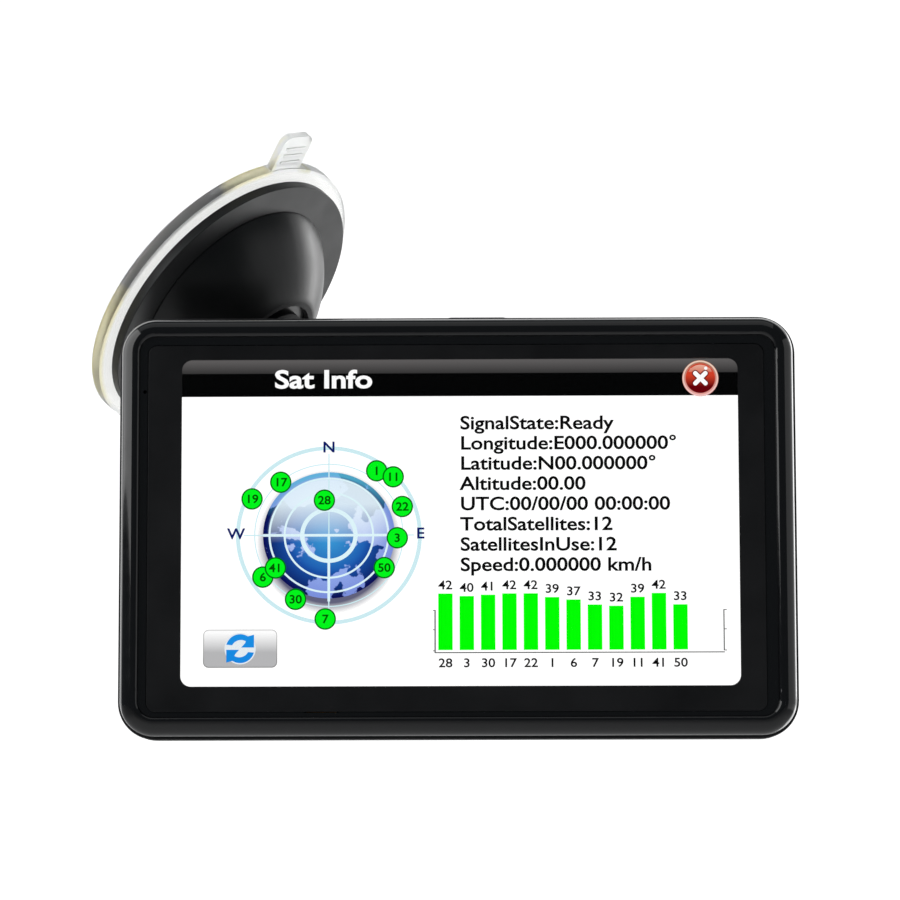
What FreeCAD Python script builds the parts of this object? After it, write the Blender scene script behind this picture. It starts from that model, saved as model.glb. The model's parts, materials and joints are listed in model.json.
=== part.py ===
import FreeCAD, Part
import math
import os
import re
import Sketcher

# Portable GPS navigator on a windscreen suction mount, in millimetres.
# Origin: centre of the suction face. The screen faces -Y and +Z is up.
# Four local frames are used, each named in FRAMES:
#   mount    Z runs from the suction face along the mount's axis, Y along the hinge pin
#   knuckle  origin on the hinge pin, X along the pin, Z towards the viewer
#   cradle   origin on the hinge pin, X right, Y up, Z towards the viewer
#   unit     origin at the middle of the front face, X right, Y up, Z towards the viewer
# Depths in the unit are measured backwards from its front face, so Z takes them with a minus.

DIMENSIONS = {
    # where the navigator hangs from its mount
    "axis_tilt": 69.48,
    "axis_roll": 45.14,
    "stem_to_pin": 79.5,
    "pin_behind_front": 33.9,
    "pin_above_centre": 4.1,
    # navigator housing
    "unit_width": 135.4,
    "unit_height": 84.5,
    "unit_depth": 13.5,
    "corner_radius": 7.5,
    "wall": 2,
    "back_wall": 1.8,
    "seam_step": 0.6,
    "bezel_depth": 5,
    "bezel_round": 3,
    "bezel_ring": 4.4,
    "bezel_inner_round": 0.85,
    "groove_depth": 0.9,
    "ledge_top": 2.1,
    "ledge_bottom": 3.1,
    "lip_height": 1.1,
    "lip_thickness": 1,
    "back_round": 2.5,
    "fit_gap": 0.2,
    # touch panel and display
    "panel_width": 122.6,
    "panel_height": 73,
    "panel_right": -0.3,
    "panel_up": -0.4,
    "panel_radius": 1.8,
    "panel_front": 0.5,
    "film_thickness": 0.25,
    "window_width": 110.8,
    "window_height": 65.2,
    "window_right": 0.5,
    "window_up": 0.7,
    "window_radius": 2.1,
    "display_width": 120.7,
    "display_height": 75.9,
    "display_up": 0.2,
    "display_thickness": 1.4,
    "backlight_thickness": 1.8,
    # circuit board and what it carries
    "board_front": 7.3,
    "board_thickness": 1,
    "board_left": -60.7,
    "board_right": 18,
    "board_half": 37,
    "antenna_x": -29,
    "antenna_y": 27,
    "antenna_side": 18,
    "speaker_x": 44,
    "speaker_y": -22,
    "speaker_radius": 13,
    "battery_x": 41.5,
    "battery_y": 15.5,
    "battery_width": 36,
    "battery_height": 40,
    "battery_thickness": 4.2,
    "jack_y": -21,
    "jack_radius": 1.8,
    "jack_depth": 8.8,
    "usb_y": -5,
    "card_y": 15,
    "button_x": 4,
    "button_depth": 9.6,
    "button_length": 12,
    "button_height": 2.6,
    "mic_x": -62.3,
    "mic_y": 26.9,
    # housing screws
    "boss_x": 63.2,
    "boss_y": 33.5,
    "boss_radius": 1.8,
    "screw_radius": 0.85,
    "screw_head": 1.5,
    # slide-on rail between cradle and housing
    "rail_length": 44,
    "rail_neck": 15.6,
    "rail_head": 21.6,
    "rail_clearance": 0.2,
    "rail_head_thickness": 1.4,
    "channel_depth": 3.6,
    "channel_undercut": 1.7,
    # cradle and knuckle
    "cradle_width": 42,
    "cradle_height": 56,
    "cradle_thickness": 3,
    "cradle_gap": 0.3,
    "disc_radius": 12,
    "disc_thickness": 2.5,
    "spindle_radius": 5,
    "running_gap": 0.05,
    "eye_radius": 7.5,
    "tongue_half": 3.9,
    "washer_thickness": 0.5,
    "ear_thickness": 4,
    "bolt_radius": 2.5,
    "knob_radius": 8,
    "knob_length": 9,
    # suction cup and bell
    "cup_radius": 34.5,
    "cup_rim": 2.27,
    "cup_top": 3,
    "hollow_depth": 2,
    "bell_bottom": 3.05,
    "bell_flange": 5.1,
    "flange_radius": 31.5,
    "dome_base": 24.95,
    "dome_curve": 33.8,
    "dome_top": 18.8,
    "dome_mouth": 11.2,
    "boss_top": 19,
    "bell_boss": 8,
    "neck_radius": 5.5,
    "neck_top": 29,
    "head_radius": 8,
    "head_top": 32,
    "seat_bottom": 6.6,
    "seat_top": 8,
    "hub_top": 4.4,
    "stem_radius": 2.2,
    "foot_radius": 7,
    "tab_angle": -36.3,
    "tab_width": 9,
    "tab_reach": 42.5,
    "tab_thickness": 1.6,
    # lever and its cam
    "lever_pin_height": 12.6,
    "lever_pin_radius": 1.25,
    "stem_stroke": 1.8,
    "lever_angle": 40,
    "lever_half_width": 5.6,
    "lever_fork": 5,
    "lever_thickness": 2.6,
    "lever_length": 33,
    # arm
    "collar_radius": 11.8,
    "collar_bottom": 25.6,
    "collar_top": 36.5,
    "arm_half_width": 6.5,
    "arm_screw_low": 45,
    "arm_screw_high": 62,
}

doc = FreeCAD.newDocument("gps_navigator")
sheet = doc.addObject("Spreadsheet::Sheet", "Dimensions")
for row, (alias, size) in enumerate(DIMENSIONS.items(), start=1):
    sheet.set(f"A{row}", alias)
    sheet.set(f"B{row}", str(size))
    sheet.setAlias(f"B{row}", alias)
doc.recompute()

pieces = []


def formula(text):
    """Point each dimension's name in an expression at its cell in the sheet."""
    return re.sub(
        r"[a-z_]+",
        lambda word: f"Dimensions.{word[0]}" if word[0] in DIMENSIONS else word[0],
        str(text),
    )


def value(text):
    """The number that an expression of dimension names comes to."""
    return float(sheet.evalExpression(formula(text)))


def bind(thing, **expressions):
    """Bind properties of an object to expressions of the sheet's dimensions."""
    for name, text in expressions.items():
        thing.setExpression(name.replace("__", "."), formula(text))


def vector(x=0, y=0, z=0):
    """A vector from three expressions."""
    return FreeCAD.Vector(value(x), value(y), value(z))


# ---------------------------------------------------------------- local frames

tilt = math.radians(value("axis_tilt"))
roll = math.radians(value("axis_roll"))
RIGHT = FreeCAD.Vector(1, 0, 0)
BACK = FreeCAD.Vector(0, 1, 0)
UP = FreeCAD.Vector(0, 0, 1)
MOUNT_AXIS = FreeCAD.Vector(
    math.sin(tilt) * math.cos(roll), -math.cos(tilt), -math.sin(tilt) * math.sin(roll)
)
PIN_AXIS = FreeCAD.Vector(math.sin(roll), 0, math.cos(roll))
PIN_POINT = MOUNT_AXIS * value("stem_to_pin")
UNIT_POINT = PIN_POINT - BACK * value("pin_behind_front") - UP * value("pin_above_centre")


def axes(x_axis, z_axis):
    """The rotation that carries X and Z onto two directions."""
    return FreeCAD.Rotation(x_axis, z_axis.cross(x_axis), z_axis, "ZXY")


FRAMES = {
    "mount": FreeCAD.Placement(FreeCAD.Vector(), axes(PIN_AXIS.cross(MOUNT_AXIS), MOUNT_AXIS)),
    "knuckle": FreeCAD.Placement(PIN_POINT, axes(PIN_AXIS, -BACK)),
    "cradle": FreeCAD.Placement(PIN_POINT, axes(RIGHT, -BACK)),
    "unit": FreeCAD.Placement(UNIT_POINT, axes(RIGHT, -BACK)),
}


def register(thing, label, frame):
    """Name a finished sub-part, seat it in its frame and list it for writing.

    A shape whose own Placement is bound goes into a group, which then carries the frame.
    """
    if any("Placement" in path for path, _ in thing.ExpressionEngine):
        thing = group(thing)
    thing.Label = label
    thing.Placement = FRAMES[frame]
    pieces.append(thing)
    return thing


# ---------------------------------------------------------------- PartDesign helpers


def new_body(label, frame):
    """An empty body for one sub-part."""
    return register(doc.addObject("PartDesign::Body", label), label, frame)


def new_sketch(body, plane="XY_Plane", offset="0", turn="0"):
    """A sketch on one of the body's own planes, moved along its normal and turned about it."""
    sketch = body.newObject("Sketcher::SketchObject", "Sketch")
    support = next(f for f in body.Origin.OriginFeatures if f.Role == plane)
    sketch.AttachmentSupport = (support, "")
    sketch.MapMode = "FlatFace"
    sketch.AttachmentOffset = FreeCAD.Placement(
        FreeCAD.Vector(), FreeCAD.Rotation(FreeCAD.Vector(0, 0, 1), value(turn))
    )
    bind(sketch, AttachmentOffset__Base__z=offset)
    return sketch


def constrain(sketch, text, *arguments):
    """Add one dimension to a sketch and bind it to an expression."""
    index = sketch.addConstraint(Sketcher.Constraint(*arguments, value(text)))
    sketch.setExpression(f"Constraints[{index}]", formula(text))


def pin_down(sketch, geometry, point, x, y):
    """Hold one point of a sketch at x, y from its origin."""
    constrain(sketch, x, "DistanceX", -1, 1, geometry, point)
    constrain(sketch, y, "DistanceY", -1, 1, geometry, point)


def circle(sketch, radius, x="0", y="0"):
    """A circle with a bound radius and centre."""
    shape = Part.Circle(vector(x, y), UP, value(radius))
    index = sketch.addGeometry(shape, False)
    constrain(sketch, radius, "Radius", index)
    pin_down(sketch, index, 3, x, y)


def outline(sketch, corners):
    """A closed outline. A corner is (x, y), or (x, y, radius) when an arc leads to the next.

    A positive radius bulges to the right of the way the outline runs, a negative one to the left.
    """
    points = [vector(corner[0], corner[1]) for corner in corners]
    ends = []
    for number, corner in enumerate(corners):
        start = points[number]
        end = points[(number + 1) % len(points)]
        if len(corner) == 2:
            index = sketch.addGeometry(Part.LineSegment(start, end), False)
            ends.append((index, 1, 2))
            continue
        radius = value(corner[2])
        chord = end - start
        side = FreeCAD.Vector(chord.y, -chord.x, 0).normalize() * math.copysign(1, radius)
        reach = math.sqrt(radius**2 - (chord.Length / 2) ** 2)
        centre = start + chord * 0.5 - side * reach
        first, last = (start, end) if radius > 0 else (end, start)
        angles = [math.atan2(p.y - centre.y, p.x - centre.x) for p in (first, last)]
        arc = Part.ArcOfCircle(Part.Circle(centre, UP, abs(radius)), *angles)
        index = sketch.addGeometry(arc, False)
        constrain(sketch, f"abs({corner[2]})", "Radius", index)
        ends.append((index, 1, 2) if radius > 0 else (index, 2, 1))
    for number, (index, begin, _) in enumerate(ends):
        previous, _, finish = ends[number - 1]
        sketch.addConstraint(Sketcher.Constraint("Coincident", previous, finish, index, begin))
        pin_down(sketch, index, begin, corners[number][0], corners[number][1])


def rectangle(sketch, width, height, radius=None, x="0", y="0"):
    """A rectangle about x, y, with rounded corners when a radius is given."""
    left = f"({x}) - ({width}) / 2"
    right = f"({x}) + ({width}) / 2"
    low = f"({y}) - ({height}) / 2"
    high = f"({y}) + ({height}) / 2"
    if radius is None:
        outline(sketch, [(left, low), (right, low), (right, high), (left, high)])
        return
    outline(
        sketch,
        [
            (f"{left} + ({radius})", low),
            (f"{right} - ({radius})", low, radius),
            (right, f"{low} + ({radius})"),
            (right, f"{high} - ({radius})", radius),
            (f"{right} - ({radius})", high),
            (f"{left} + ({radius})", high, radius),
            (left, f"{high} - ({radius})"),
            (left, f"{low} + ({radius})", radius),
        ],
    )


def feature(body, kind, sketch, **settings):
    """A sketch-based feature; text settings are expressions, others are plain values."""
    made = body.newObject(f"PartDesign::{kind}", kind)
    made.Profile = sketch
    for name, setting in settings.items():
        if isinstance(setting, str):
            bind(made, **{name: setting})
        else:
            setattr(made, name, setting)
    sketch.Visibility = False
    doc.recompute()
    return made


def pad(body, sketch, length, **settings):
    """Raise a sketch along its plane's normal."""
    return feature(body, "Pad", sketch, Length=length, **settings)


def pocket(body, sketch, depth, **settings):
    """Cut a sketch against its plane's normal, and make sure that it removed something."""
    before = body.Shape.Volume
    made = feature(body, "Pocket", sketch, Length=depth, **settings)
    if body.Shape.Volume > before - 1e-6:
        raise ValueError(f"a pocket in {body.Label} cuts nothing")
    return made


def revolve(body, sketch, angle=360, flip=False):
    """Turn a sketch about its own vertical axis."""
    return feature(
        body, "Revolution", sketch,
        ReferenceAxis=(sketch, ["V_Axis"]), Angle=angle, Reversed=flip,
    )


def edges_where(body, test):
    """Names of the body's edges whose every end passes a test of position."""
    found = []
    for number, edge in enumerate(body.Shape.Edges, start=1):
        local = [body.Placement.inverse().multVec(vertex.Point) for vertex in edge.Vertexes]
        if all(test(point) for point in local):
            found.append(f"Edge{number}")
    return found


def soften(body, radius, test, kind="Fillet"):
    """Round or bevel the edges that pass a test."""
    made = body.newObject(f"PartDesign::{kind}", kind)
    tip = body.Group[-2] if body.Group[-1] is made else body.Tip
    made.Base = (tip, edges_where(body, test))
    bind(made, **{"Radius" if kind == "Fillet" else "Size": radius})
    doc.recompute()
    return made


def at_height(height):
    """A test for points at one height in the body's own frame."""
    level = value(height)
    return lambda point: abs(point.z - level) < 1e-4


def plate(label, frame, width, height, radius, x, y, low, thickness):
    """A flat sub-part with rounded corners, lying parallel to its frame's XY plane."""
    body = new_body(label, frame)
    sketch = new_sketch(body, offset=low)
    rectangle(sketch, width, height, radius, x, y)
    pad(body, sketch, thickness)
    return body


# ---------------------------------------------------------------- Part helpers


def box(length, width, height, x, y, z):
    """A box centred on x, y with its bottom at z."""
    made = doc.addObject("Part::Box", "Box")
    bind(made, Length=length, Width=width, Height=height)
    bind(
        made,
        Placement__Base__x=f"({x}) - ({length}) / 2",
        Placement__Base__y=f"({y}) - ({width}) / 2",
        Placement__Base__z=z,
    )
    return made


def rod(radius, length, x, y, z, along="Z"):
    """A cylinder that starts at x, y, z and runs along one of its frame's axes."""
    turns = {
        "Z": FreeCAD.Rotation(),
        "X": FreeCAD.Rotation(FreeCAD.Vector(0, 1, 0), 90),
        "Y": FreeCAD.Rotation(FreeCAD.Vector(1, 0, 0), -90),
    }
    made = doc.addObject("Part::Cylinder", "Rod")
    made.Placement.Rotation = turns[along]
    bind(made, Radius=radius, Height=length)
    bind(made, Placement__Base__x=x, Placement__Base__y=y, Placement__Base__z=z)
    return made


def fuse(*shapes):
    """Join shapes into one solid."""
    made = doc.addObject("Part::MultiFuse", "Fuse")
    made.Shapes = list(shapes)
    return made


def cut(base, *tools):
    """Take shapes away from a base."""
    made = doc.addObject("Part::Cut", "Cut")
    made.Base = base
    made.Tool = tools[0] if len(tools) == 1 else fuse(*tools)
    return made


def group(*solids):
    """Several separate solids kept as one sub-part."""
    made = doc.addObject("Part::Compound", "Group")
    made.Links = list(solids)
    return made


UPRIGHT = FreeCAD.Rotation()
UPSIDE_DOWN = FreeCAD.Rotation(RIGHT, 180)
ALONG_Y = FreeCAD.Rotation(RIGHT, -90)


def screw(length, head_radius, head_height, x, y, z, turn=UPRIGHT, radius="screw_radius"):
    """A pan-head screw with a cross recess; its head stands on x, y, z before it is turned."""
    head = rod(head_radius, head_height, "0", "0", "0")
    shank = rod(radius, length, "0", "0", head_height)
    long = f"{head_radius} * 1.2"
    wide = f"{head_radius} * 0.3"
    recess = f"({head_height}) / 2"
    slots = [box(*sides, recess, "0", "0", "0") for sides in ((long, wide), (wide, long))]
    made = cut(fuse(head, shank), *slots)
    made.Placement.Rotation = turn
    bind(made, Placement__Base__x=x, Placement__Base__y=y, Placement__Base__z=z)
    return made


# ---------------------------------------------------------------- navigator housing


def front_bezel():
    """Glossy ring that frames the touch panel, with a step inside it and a ledge behind."""
    body = new_body("front_bezel", "unit")
    outer = new_sketch(body, offset="-bezel_depth")
    rectangle(
        outer, "unit_width - 2 * seam_step", "unit_height - 2 * seam_step",
        "corner_radius - seam_step",
    )
    pad(body, outer, "bezel_depth")
    soften(body, "bezel_round", at_height("0"))
    step = new_sketch(body)
    rectangle(
        step, "unit_width - 2 * bezel_ring", "unit_height - 2 * bezel_ring",
        "corner_radius - bezel_ring",
    )
    pocket(body, step, "groove_depth")
    inside = value("unit_width") / 2 - value("bezel_ring") + 0.01
    soften(body, "bezel_inner_round", lambda p: abs(p.z) < 1e-4 and abs(p.x) < inside)
    seat = new_sketch(body)
    rectangle(
        seat, "panel_width + 2 * fit_gap", "panel_height + 2 * fit_gap", "panel_radius + fit_gap",
        "panel_right", "panel_up",
    )
    pocket(body, seat, "ledge_top")
    window = new_sketch(body)
    rectangle(
        window, "window_width + 3.2", "window_height + 3.4", "window_radius",
        "window_right", "window_up",
    )
    pocket(body, window, "bezel_depth")
    hollow = new_sketch(body, offset="-bezel_depth")
    rectangle(
        hollow, "display_width + 0.6", "display_height + 0.6", "0.6", "window_right", "display_up"
    )
    pocket(body, hollow, "bezel_depth - ledge_bottom", Reversed=True)
    mouth = new_sketch(body, offset="-bezel_depth")
    rectangle(
        mouth, "unit_width - 2 * wall + fit_gap", "unit_height - 2 * wall + fit_gap",
        "corner_radius - wall",
    )
    pocket(body, mouth, "lip_height + fit_gap", Reversed=True)
    ribbon_gap = new_sketch(body, offset="-bezel_depth")
    rectangle(ribbon_gap, "7", "3.8", None, "-27", "panel_up - panel_height / 2 - 0.3")
    pocket(body, ribbon_gap, "bezel_depth - ledge_top", Reversed=True)
    bosses = new_sketch(body, offset="-bezel_depth + running_gap")
    at_screws(lambda x, y: circle(bosses, "boss_radius", x, y))
    pad(body, bosses, "lip_height + 0.5")
    pilots = new_sketch(body, offset="-bezel_depth")
    at_screws(lambda x, y: circle(pilots, "screw_radius + 0.01", x, y))
    pocket(body, pilots, "bezel_depth - 1.8", Reversed=True)
    capsule_bore = new_sketch(body, offset="-bezel_depth")
    circle(capsule_bore, "1.6", "mic_x", "mic_y")
    pocket(body, capsule_bore, "bezel_depth - 3.4", Reversed=True)
    sound_hole = new_sketch(body)
    circle(sound_hole, "0.35", "mic_x", "mic_y")
    pocket(body, sound_hole, "bezel_depth")


def at_screws(place):
    """Call a function at each of the four housing screws."""
    for x in ("-boss_x", "boss_x"):
        for y in ("-boss_y", "boss_y"):
            place(x, y)


def rear_housing():
    """Matt back shell with its lip, screw bosses, ports, speaker grille and rail channel."""
    body = new_body("rear_housing", "unit")
    shell = new_sketch(body, offset="-unit_depth")
    rectangle(shell, "unit_width", "unit_height", "corner_radius")
    pad(body, shell, "unit_depth - bezel_depth")
    soften(body, "back_round", at_height("-unit_depth"))
    soften(body, "seam_step / 2", at_height("-bezel_depth"))
    lip = new_sketch(body, offset="-bezel_depth - 0.5")
    rectangle(
        lip, "unit_width - 2 * wall - fit_gap", "unit_height - 2 * wall - fit_gap",
        "corner_radius - wall",
    )
    pad(body, lip, "lip_height + 0.5")
    block = new_sketch(body, offset="-unit_depth - channel_depth")
    rectangle(block, "rail_head + 14.4", "rail_length + 3", "3", "0", "pin_above_centre + 1.5")
    pad(body, block, "channel_depth + 0.5")
    soften(body, "1", at_height("-unit_depth - channel_depth"))
    mouth = new_sketch(body, offset="-bezel_depth + lip_height")
    rectangle(
        mouth, "unit_width - 2 * wall - 2 * lip_thickness",
        "unit_height - 2 * wall - 2 * lip_thickness", "corner_radius - wall - lip_thickness",
    )
    pocket(body, mouth, "lip_height + 1.2")
    cavity = new_sketch(body, offset="-bezel_depth - 1.2")
    rectangle(cavity, "unit_width - 2 * wall", "unit_height - 2 * wall", "corner_radius - wall")
    pocket(body, cavity, "unit_depth - bezel_depth - 1.2 - back_wall")
    rail_channel(body)
    bosses = new_sketch(body, offset="-unit_depth + back_wall - 0.1")
    at_screws(lambda x, y: circle(bosses, "boss_radius", x, y))
    for x, y in BOARD_SCREWS:
        circle(bosses, "2", x, y)
    pad(body, bosses, "unit_depth - back_wall + 0.1 - board_front - board_thickness")
    tall = new_sketch(body, offset="-board_front - board_thickness - 0.5")
    at_screws(lambda x, y: circle(tall, "boss_radius", x, y))
    pad(body, tall, "board_front + board_thickness + 0.5 - bezel_depth - running_gap")
    reliefs = new_sketch(body, offset="-bezel_depth + lip_height")
    at_screws(lambda x, y: circle(reliefs, "boss_radius + fit_gap", x, y))
    pocket(body, reliefs, "lip_height + running_gap")
    pilots = new_sketch(body, offset="-board_front - board_thickness + 0.1")
    for x, y in BOARD_SCREWS:
        circle(pilots, "screw_radius + 0.01", x, y)
    pocket(body, pilots, "2.6")
    holes = new_sketch(body, offset="-unit_depth - 0.1")
    at_screws(lambda x, y: circle(holes, "screw_radius + 0.1", x, y))
    pocket(body, holes, "unit_depth", Reversed=True)
    heads = new_sketch(body, offset="-unit_depth - 0.1")
    at_screws(lambda x, y: circle(heads, "screw_head + 0.1", x, y))
    pocket(body, heads, "4.1", Reversed=True)
    ports(body)
    grille(body)
    return body


def rail_channel(body):
    """T-shaped channel in the raised block, open at the bottom and closed at the top."""
    mouth = "rail_neck / 2 + rail_clearance"
    undercut = "rail_head / 2 + rail_clearance"
    outside = "-unit_depth - channel_depth - 0.1"
    step = "-unit_depth - channel_undercut"
    section = new_sketch(body, "XZ_Plane", "-(pin_above_centre + rail_length / 2 + running_gap)")
    outline(
        section,
        [
            (f"-({mouth})", outside),
            (mouth, outside),
            (mouth, step),
            (undercut, step),
            (undercut, "-unit_depth"),
            (f"-({undercut})", "-unit_depth"),
            (f"-({undercut})", step),
            (f"-({mouth})", step),
        ],
    )
    pocket(body, section, "rail_length + 1", Reversed=True)


def ports(body):
    """Openings for the earphone jack, USB socket, memory card, power button and reset pin."""
    left = new_sketch(body, "YZ_Plane", "-unit_width / 2 - 1")
    circle(left, "2.6", "jack_y", "-jack_depth")
    rectangle(left, "8.6", "3.6", "0.8", "usb_y", "-board_front - board_thickness - 1.4")
    rectangle(left, "12.2", "1.8", "0.4", "card_y", "-board_front - board_thickness - 1")
    pocket(body, left, "wall + 1.5", Reversed=True)
    top = new_sketch(body, "XZ_Plane", "-unit_height / 2 - 1")
    rectangle(
        top, "button_length + 2 * fit_gap", "button_height + 2 * fit_gap", "1.2",
        "button_x", "-button_depth",
    )
    pocket(body, top, "wall + 1.5", Reversed=True)
    back = new_sketch(body, offset="-unit_depth - 1")
    circle(back, "0.6", "-50", "-30")
    pocket(body, back, "back_wall + 2", Reversed=True)


def grille(body):
    """Rings of small holes in front of the loudspeaker."""
    holes = new_sketch(body, offset="-unit_depth - 1")
    circle(holes, "0.7", "speaker_x", "speaker_y")
    for ring in range(1, 4):
        count = 6 * ring
        for number in range(count):
            angle = f"{number * 360 / count} deg"
            reach = 2.6 * ring
            circle(
                holes, "0.7",
                f"speaker_x + {reach} * cos({angle})", f"speaker_y + {reach} * sin({angle})",
            )
    pocket(body, holes, "back_wall + 2", Reversed=True)


def power_button():
    """Push button in the top wall, with a shoulder inside that keeps it in."""
    body = new_body("power_button", "unit")
    cap = new_sketch(body, "XZ_Plane", "-unit_height / 2 + wall + 1.3")
    rectangle(cap, "button_length", "button_height", "1", "button_x", "-button_depth")
    pad(body, cap, "wall + 1.9", Reversed=True)
    top = value("unit_height / 2 + 0.6")
    soften(body, "0.3", lambda p: abs(p.y - top) < 1e-4)
    shoulder = new_sketch(body, "XZ_Plane", "-unit_height / 2 + wall + 1.3")
    rectangle(
        shoulder, "button_length + 2.4", "button_height + 0.8", "0.8", "button_x", "-button_depth"
    )
    pad(body, shoulder, "1", Reversed=True)
    return body


# ---------------------------------------------------------------- screen


def touch_stack():
    """Printed border film, touch glass, foam gasket, display cell and backlight."""
    border = plate(
        "border_film", "unit", "panel_width", "panel_height", "panel_radius",
        "panel_right", "panel_up", "-panel_front - film_thickness", "film_thickness",
    )
    soften(border, "film_thickness / 2", at_height("-panel_front"))
    window = new_sketch(border)
    rectangle(
        window, "window_width", "window_height", "window_radius", "window_right", "window_up"
    )
    pocket(border, window, "2")
    plate(
        "touch_panel", "unit", "panel_width", "panel_height", "panel_radius",
        "panel_right", "panel_up", "-ledge_top", "ledge_top - panel_front - film_thickness",
    )
    gasket = plate(
        "display_gasket", "unit", "window_width + 2.8", "window_height + 3", "window_radius",
        "window_right", "window_up", "-ledge_bottom", "ledge_bottom - ledge_top",
    )
    opening = new_sketch(gasket, offset="-ledge_top + 1")
    rectangle(
        opening, "window_width + 0.4", "window_height + 0.4", "window_radius",
        "window_right", "window_up",
    )
    pocket(gasket, opening, "4")
    plate(
        "lcd_panel", "unit", "display_width", "display_height", "0.5",
        "window_right", "display_up", "-ledge_bottom - display_thickness", "display_thickness",
    )
    plate(
        "backlight_unit", "unit", "display_width - 0.8", "display_height - 0.8", "0.8",
        "window_right", "display_up",
        "-ledge_bottom - display_thickness - backlight_thickness", "backlight_thickness",
    )


# ---------------------------------------------------------------- electronics

BOARD_SCREWS = (("-56.5", "32.5"), ("-56.5", "-33"), ("14.5", "-33"), ("14.5", "20"))
BOARD_BACK = "-board_front - board_thickness"


def main_board():
    """Circuit board with a notch for the antenna and one for the earphone jack."""
    body = new_body("main_board", "unit")
    sketch = new_sketch(body, offset=BOARD_BACK)
    notch = "antenna_side / 2 + 2"
    outline(
        sketch,
        [
            ("board_left", "-board_half"),
            ("board_right", "-board_half"),
            ("board_right", "board_half"),
            (f"antenna_x + {notch}", "board_half"),
            (f"antenna_x + {notch}", f"antenna_y - ({notch})"),
            (f"antenna_x - ({notch})", f"antenna_y - ({notch})"),
            (f"antenna_x - ({notch})", "board_half"),
            ("board_left", "board_half"),
            ("board_left", "jack_y + 3.4"),
            ("board_left + 9", "jack_y + 3.4"),
            ("board_left + 9", "jack_y - 3.4"),
            ("board_left", "jack_y - 3.4"),
        ],
    )
    pad(body, sketch, "board_thickness")
    holes = new_sketch(body, offset="-board_front + 0.5")
    for x, y in BOARD_SCREWS:
        circle(holes, "1.1", x, y)
    pocket(body, holes, "board_thickness + 1")
    return body


def chips():
    """Processor, memory, flash and the receiver under its tin shield."""
    processor = box("14", "14", "1.2", "-8", "-4", f"{BOARD_BACK} - 1.2")
    register(fuse(processor, box("9", "9", "0.3", "-8", "-4", f"{BOARD_BACK} - 1.5")),
             "processor_chip", "unit")
    memories = [box("9", "12", "1", "8", y, f"{BOARD_BACK} - 1") for y in ("-12", "4")]
    register(group(*memories), "memory_chips", "unit")
    can = box("16", "14", "2.2", "antenna_x", "3", f"{BOARD_BACK} - 2.2")
    inside = box("15.4", "13.4", "1.9", "antenna_x", "3", f"{BOARD_BACK} - 1.9")
    register(cut(can, inside), "receiver_shield", "unit")
    receiver = box("7", "7", "0.9", "antenna_x", "3", f"{BOARD_BACK} - 0.9")
    register(receiver, "receiver_chip", "unit")


def sockets():
    """Earphone jack, USB socket, memory card socket and the small switches."""
    wall_face = "-unit_width / 2 + wall + fit_gap"
    jack_body = box("12", "6.2", "4.4", f"{wall_face} + 6", "jack_y", "-jack_depth - 2.2")
    jack_nose = rod("2.4", "1", f"{wall_face} - 1", "jack_y", "-jack_depth", "X")
    jack_bore = rod("jack_radius", "12", f"{wall_face} - 1", "jack_y", "-jack_depth", "X")
    register(cut(fuse(jack_body, jack_nose), jack_bore), "earphone_jack", "unit")

    usb_low = f"{BOARD_BACK} - 2.8"
    shell = box("7.4", "7.7", "2.8", f"{wall_face} + 3.7", "usb_y", usb_low)
    inside = box("6.4", "7.1", "2.2", f"{wall_face} + 3.2", "usb_y", f"{usb_low} + 0.3")
    tongue = box("5.4", "4.4", "0.6", f"{wall_face} + 4.2", "usb_y", f"{usb_low} + 1.1")
    register(fuse(cut(shell, inside), tongue), "usb_socket", "unit")

    card_low = f"{BOARD_BACK} - 1.9"
    frame = box("15", "14.4", "1.9", f"{wall_face} + 7.5", "card_y", card_low)
    slot = box("14.4", "11.4", "1.1", f"{wall_face} + 7.2", "card_y", f"{card_low} + 0.4")
    register(cut(frame, slot), "card_socket", "unit")

    switch_y = "board_half - 1.8"
    switch_low = "-button_depth - 1.3"
    case = box("6", "3.4", "2.6", "button_x", switch_y, switch_low)
    plunger_end = "unit_height / 2 - wall - 1.75"
    plunger = rod(
        "0.9", f"{plunger_end} - board_half + 0.2", "button_x", "board_half - 0.2",
        "-button_depth", "Y",
    )
    register(fuse(case, plunger), "power_switch", "unit")
    reset_low = f"{BOARD_BACK} - 1.6"
    reset_case = box("3.6", "3.6", "1.6", "-50", "-30", reset_low)
    reset_tip = rod("0.8", "0.4", "-50", "-30", f"{reset_low} - 0.4")
    register(fuse(reset_case, reset_tip), "reset_switch", "unit")


def antenna():
    """Ceramic patch with its metal face, and the coaxial lead to the board."""
    low = "-unit_depth + back_wall + 0.1"
    patch = box("antenna_side", "antenna_side", "3.8", "antenna_x", "antenna_y", low)
    face = box(
        "antenna_side - 4", "antenna_side - 4", "0.1", "antenna_x", "antenna_y", f"{low} + 3.8"
    )
    register(patch, "patch_antenna", "unit")
    register(face, "antenna_electrode", "unit")
    lead_depth = f"{BOARD_BACK} - 1"
    edge = "antenna_y - antenna_side / 2"
    lead = rod("0.5", "5", "antenna_x + 6", f"{edge} - 5", lead_depth, "Y")
    plug = rod("1.3", "1", "antenna_x + 6", f"{edge} - 6", f"{lead_depth} - 0.2")
    register(fuse(lead, plug), "antenna_lead", "unit")


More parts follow.
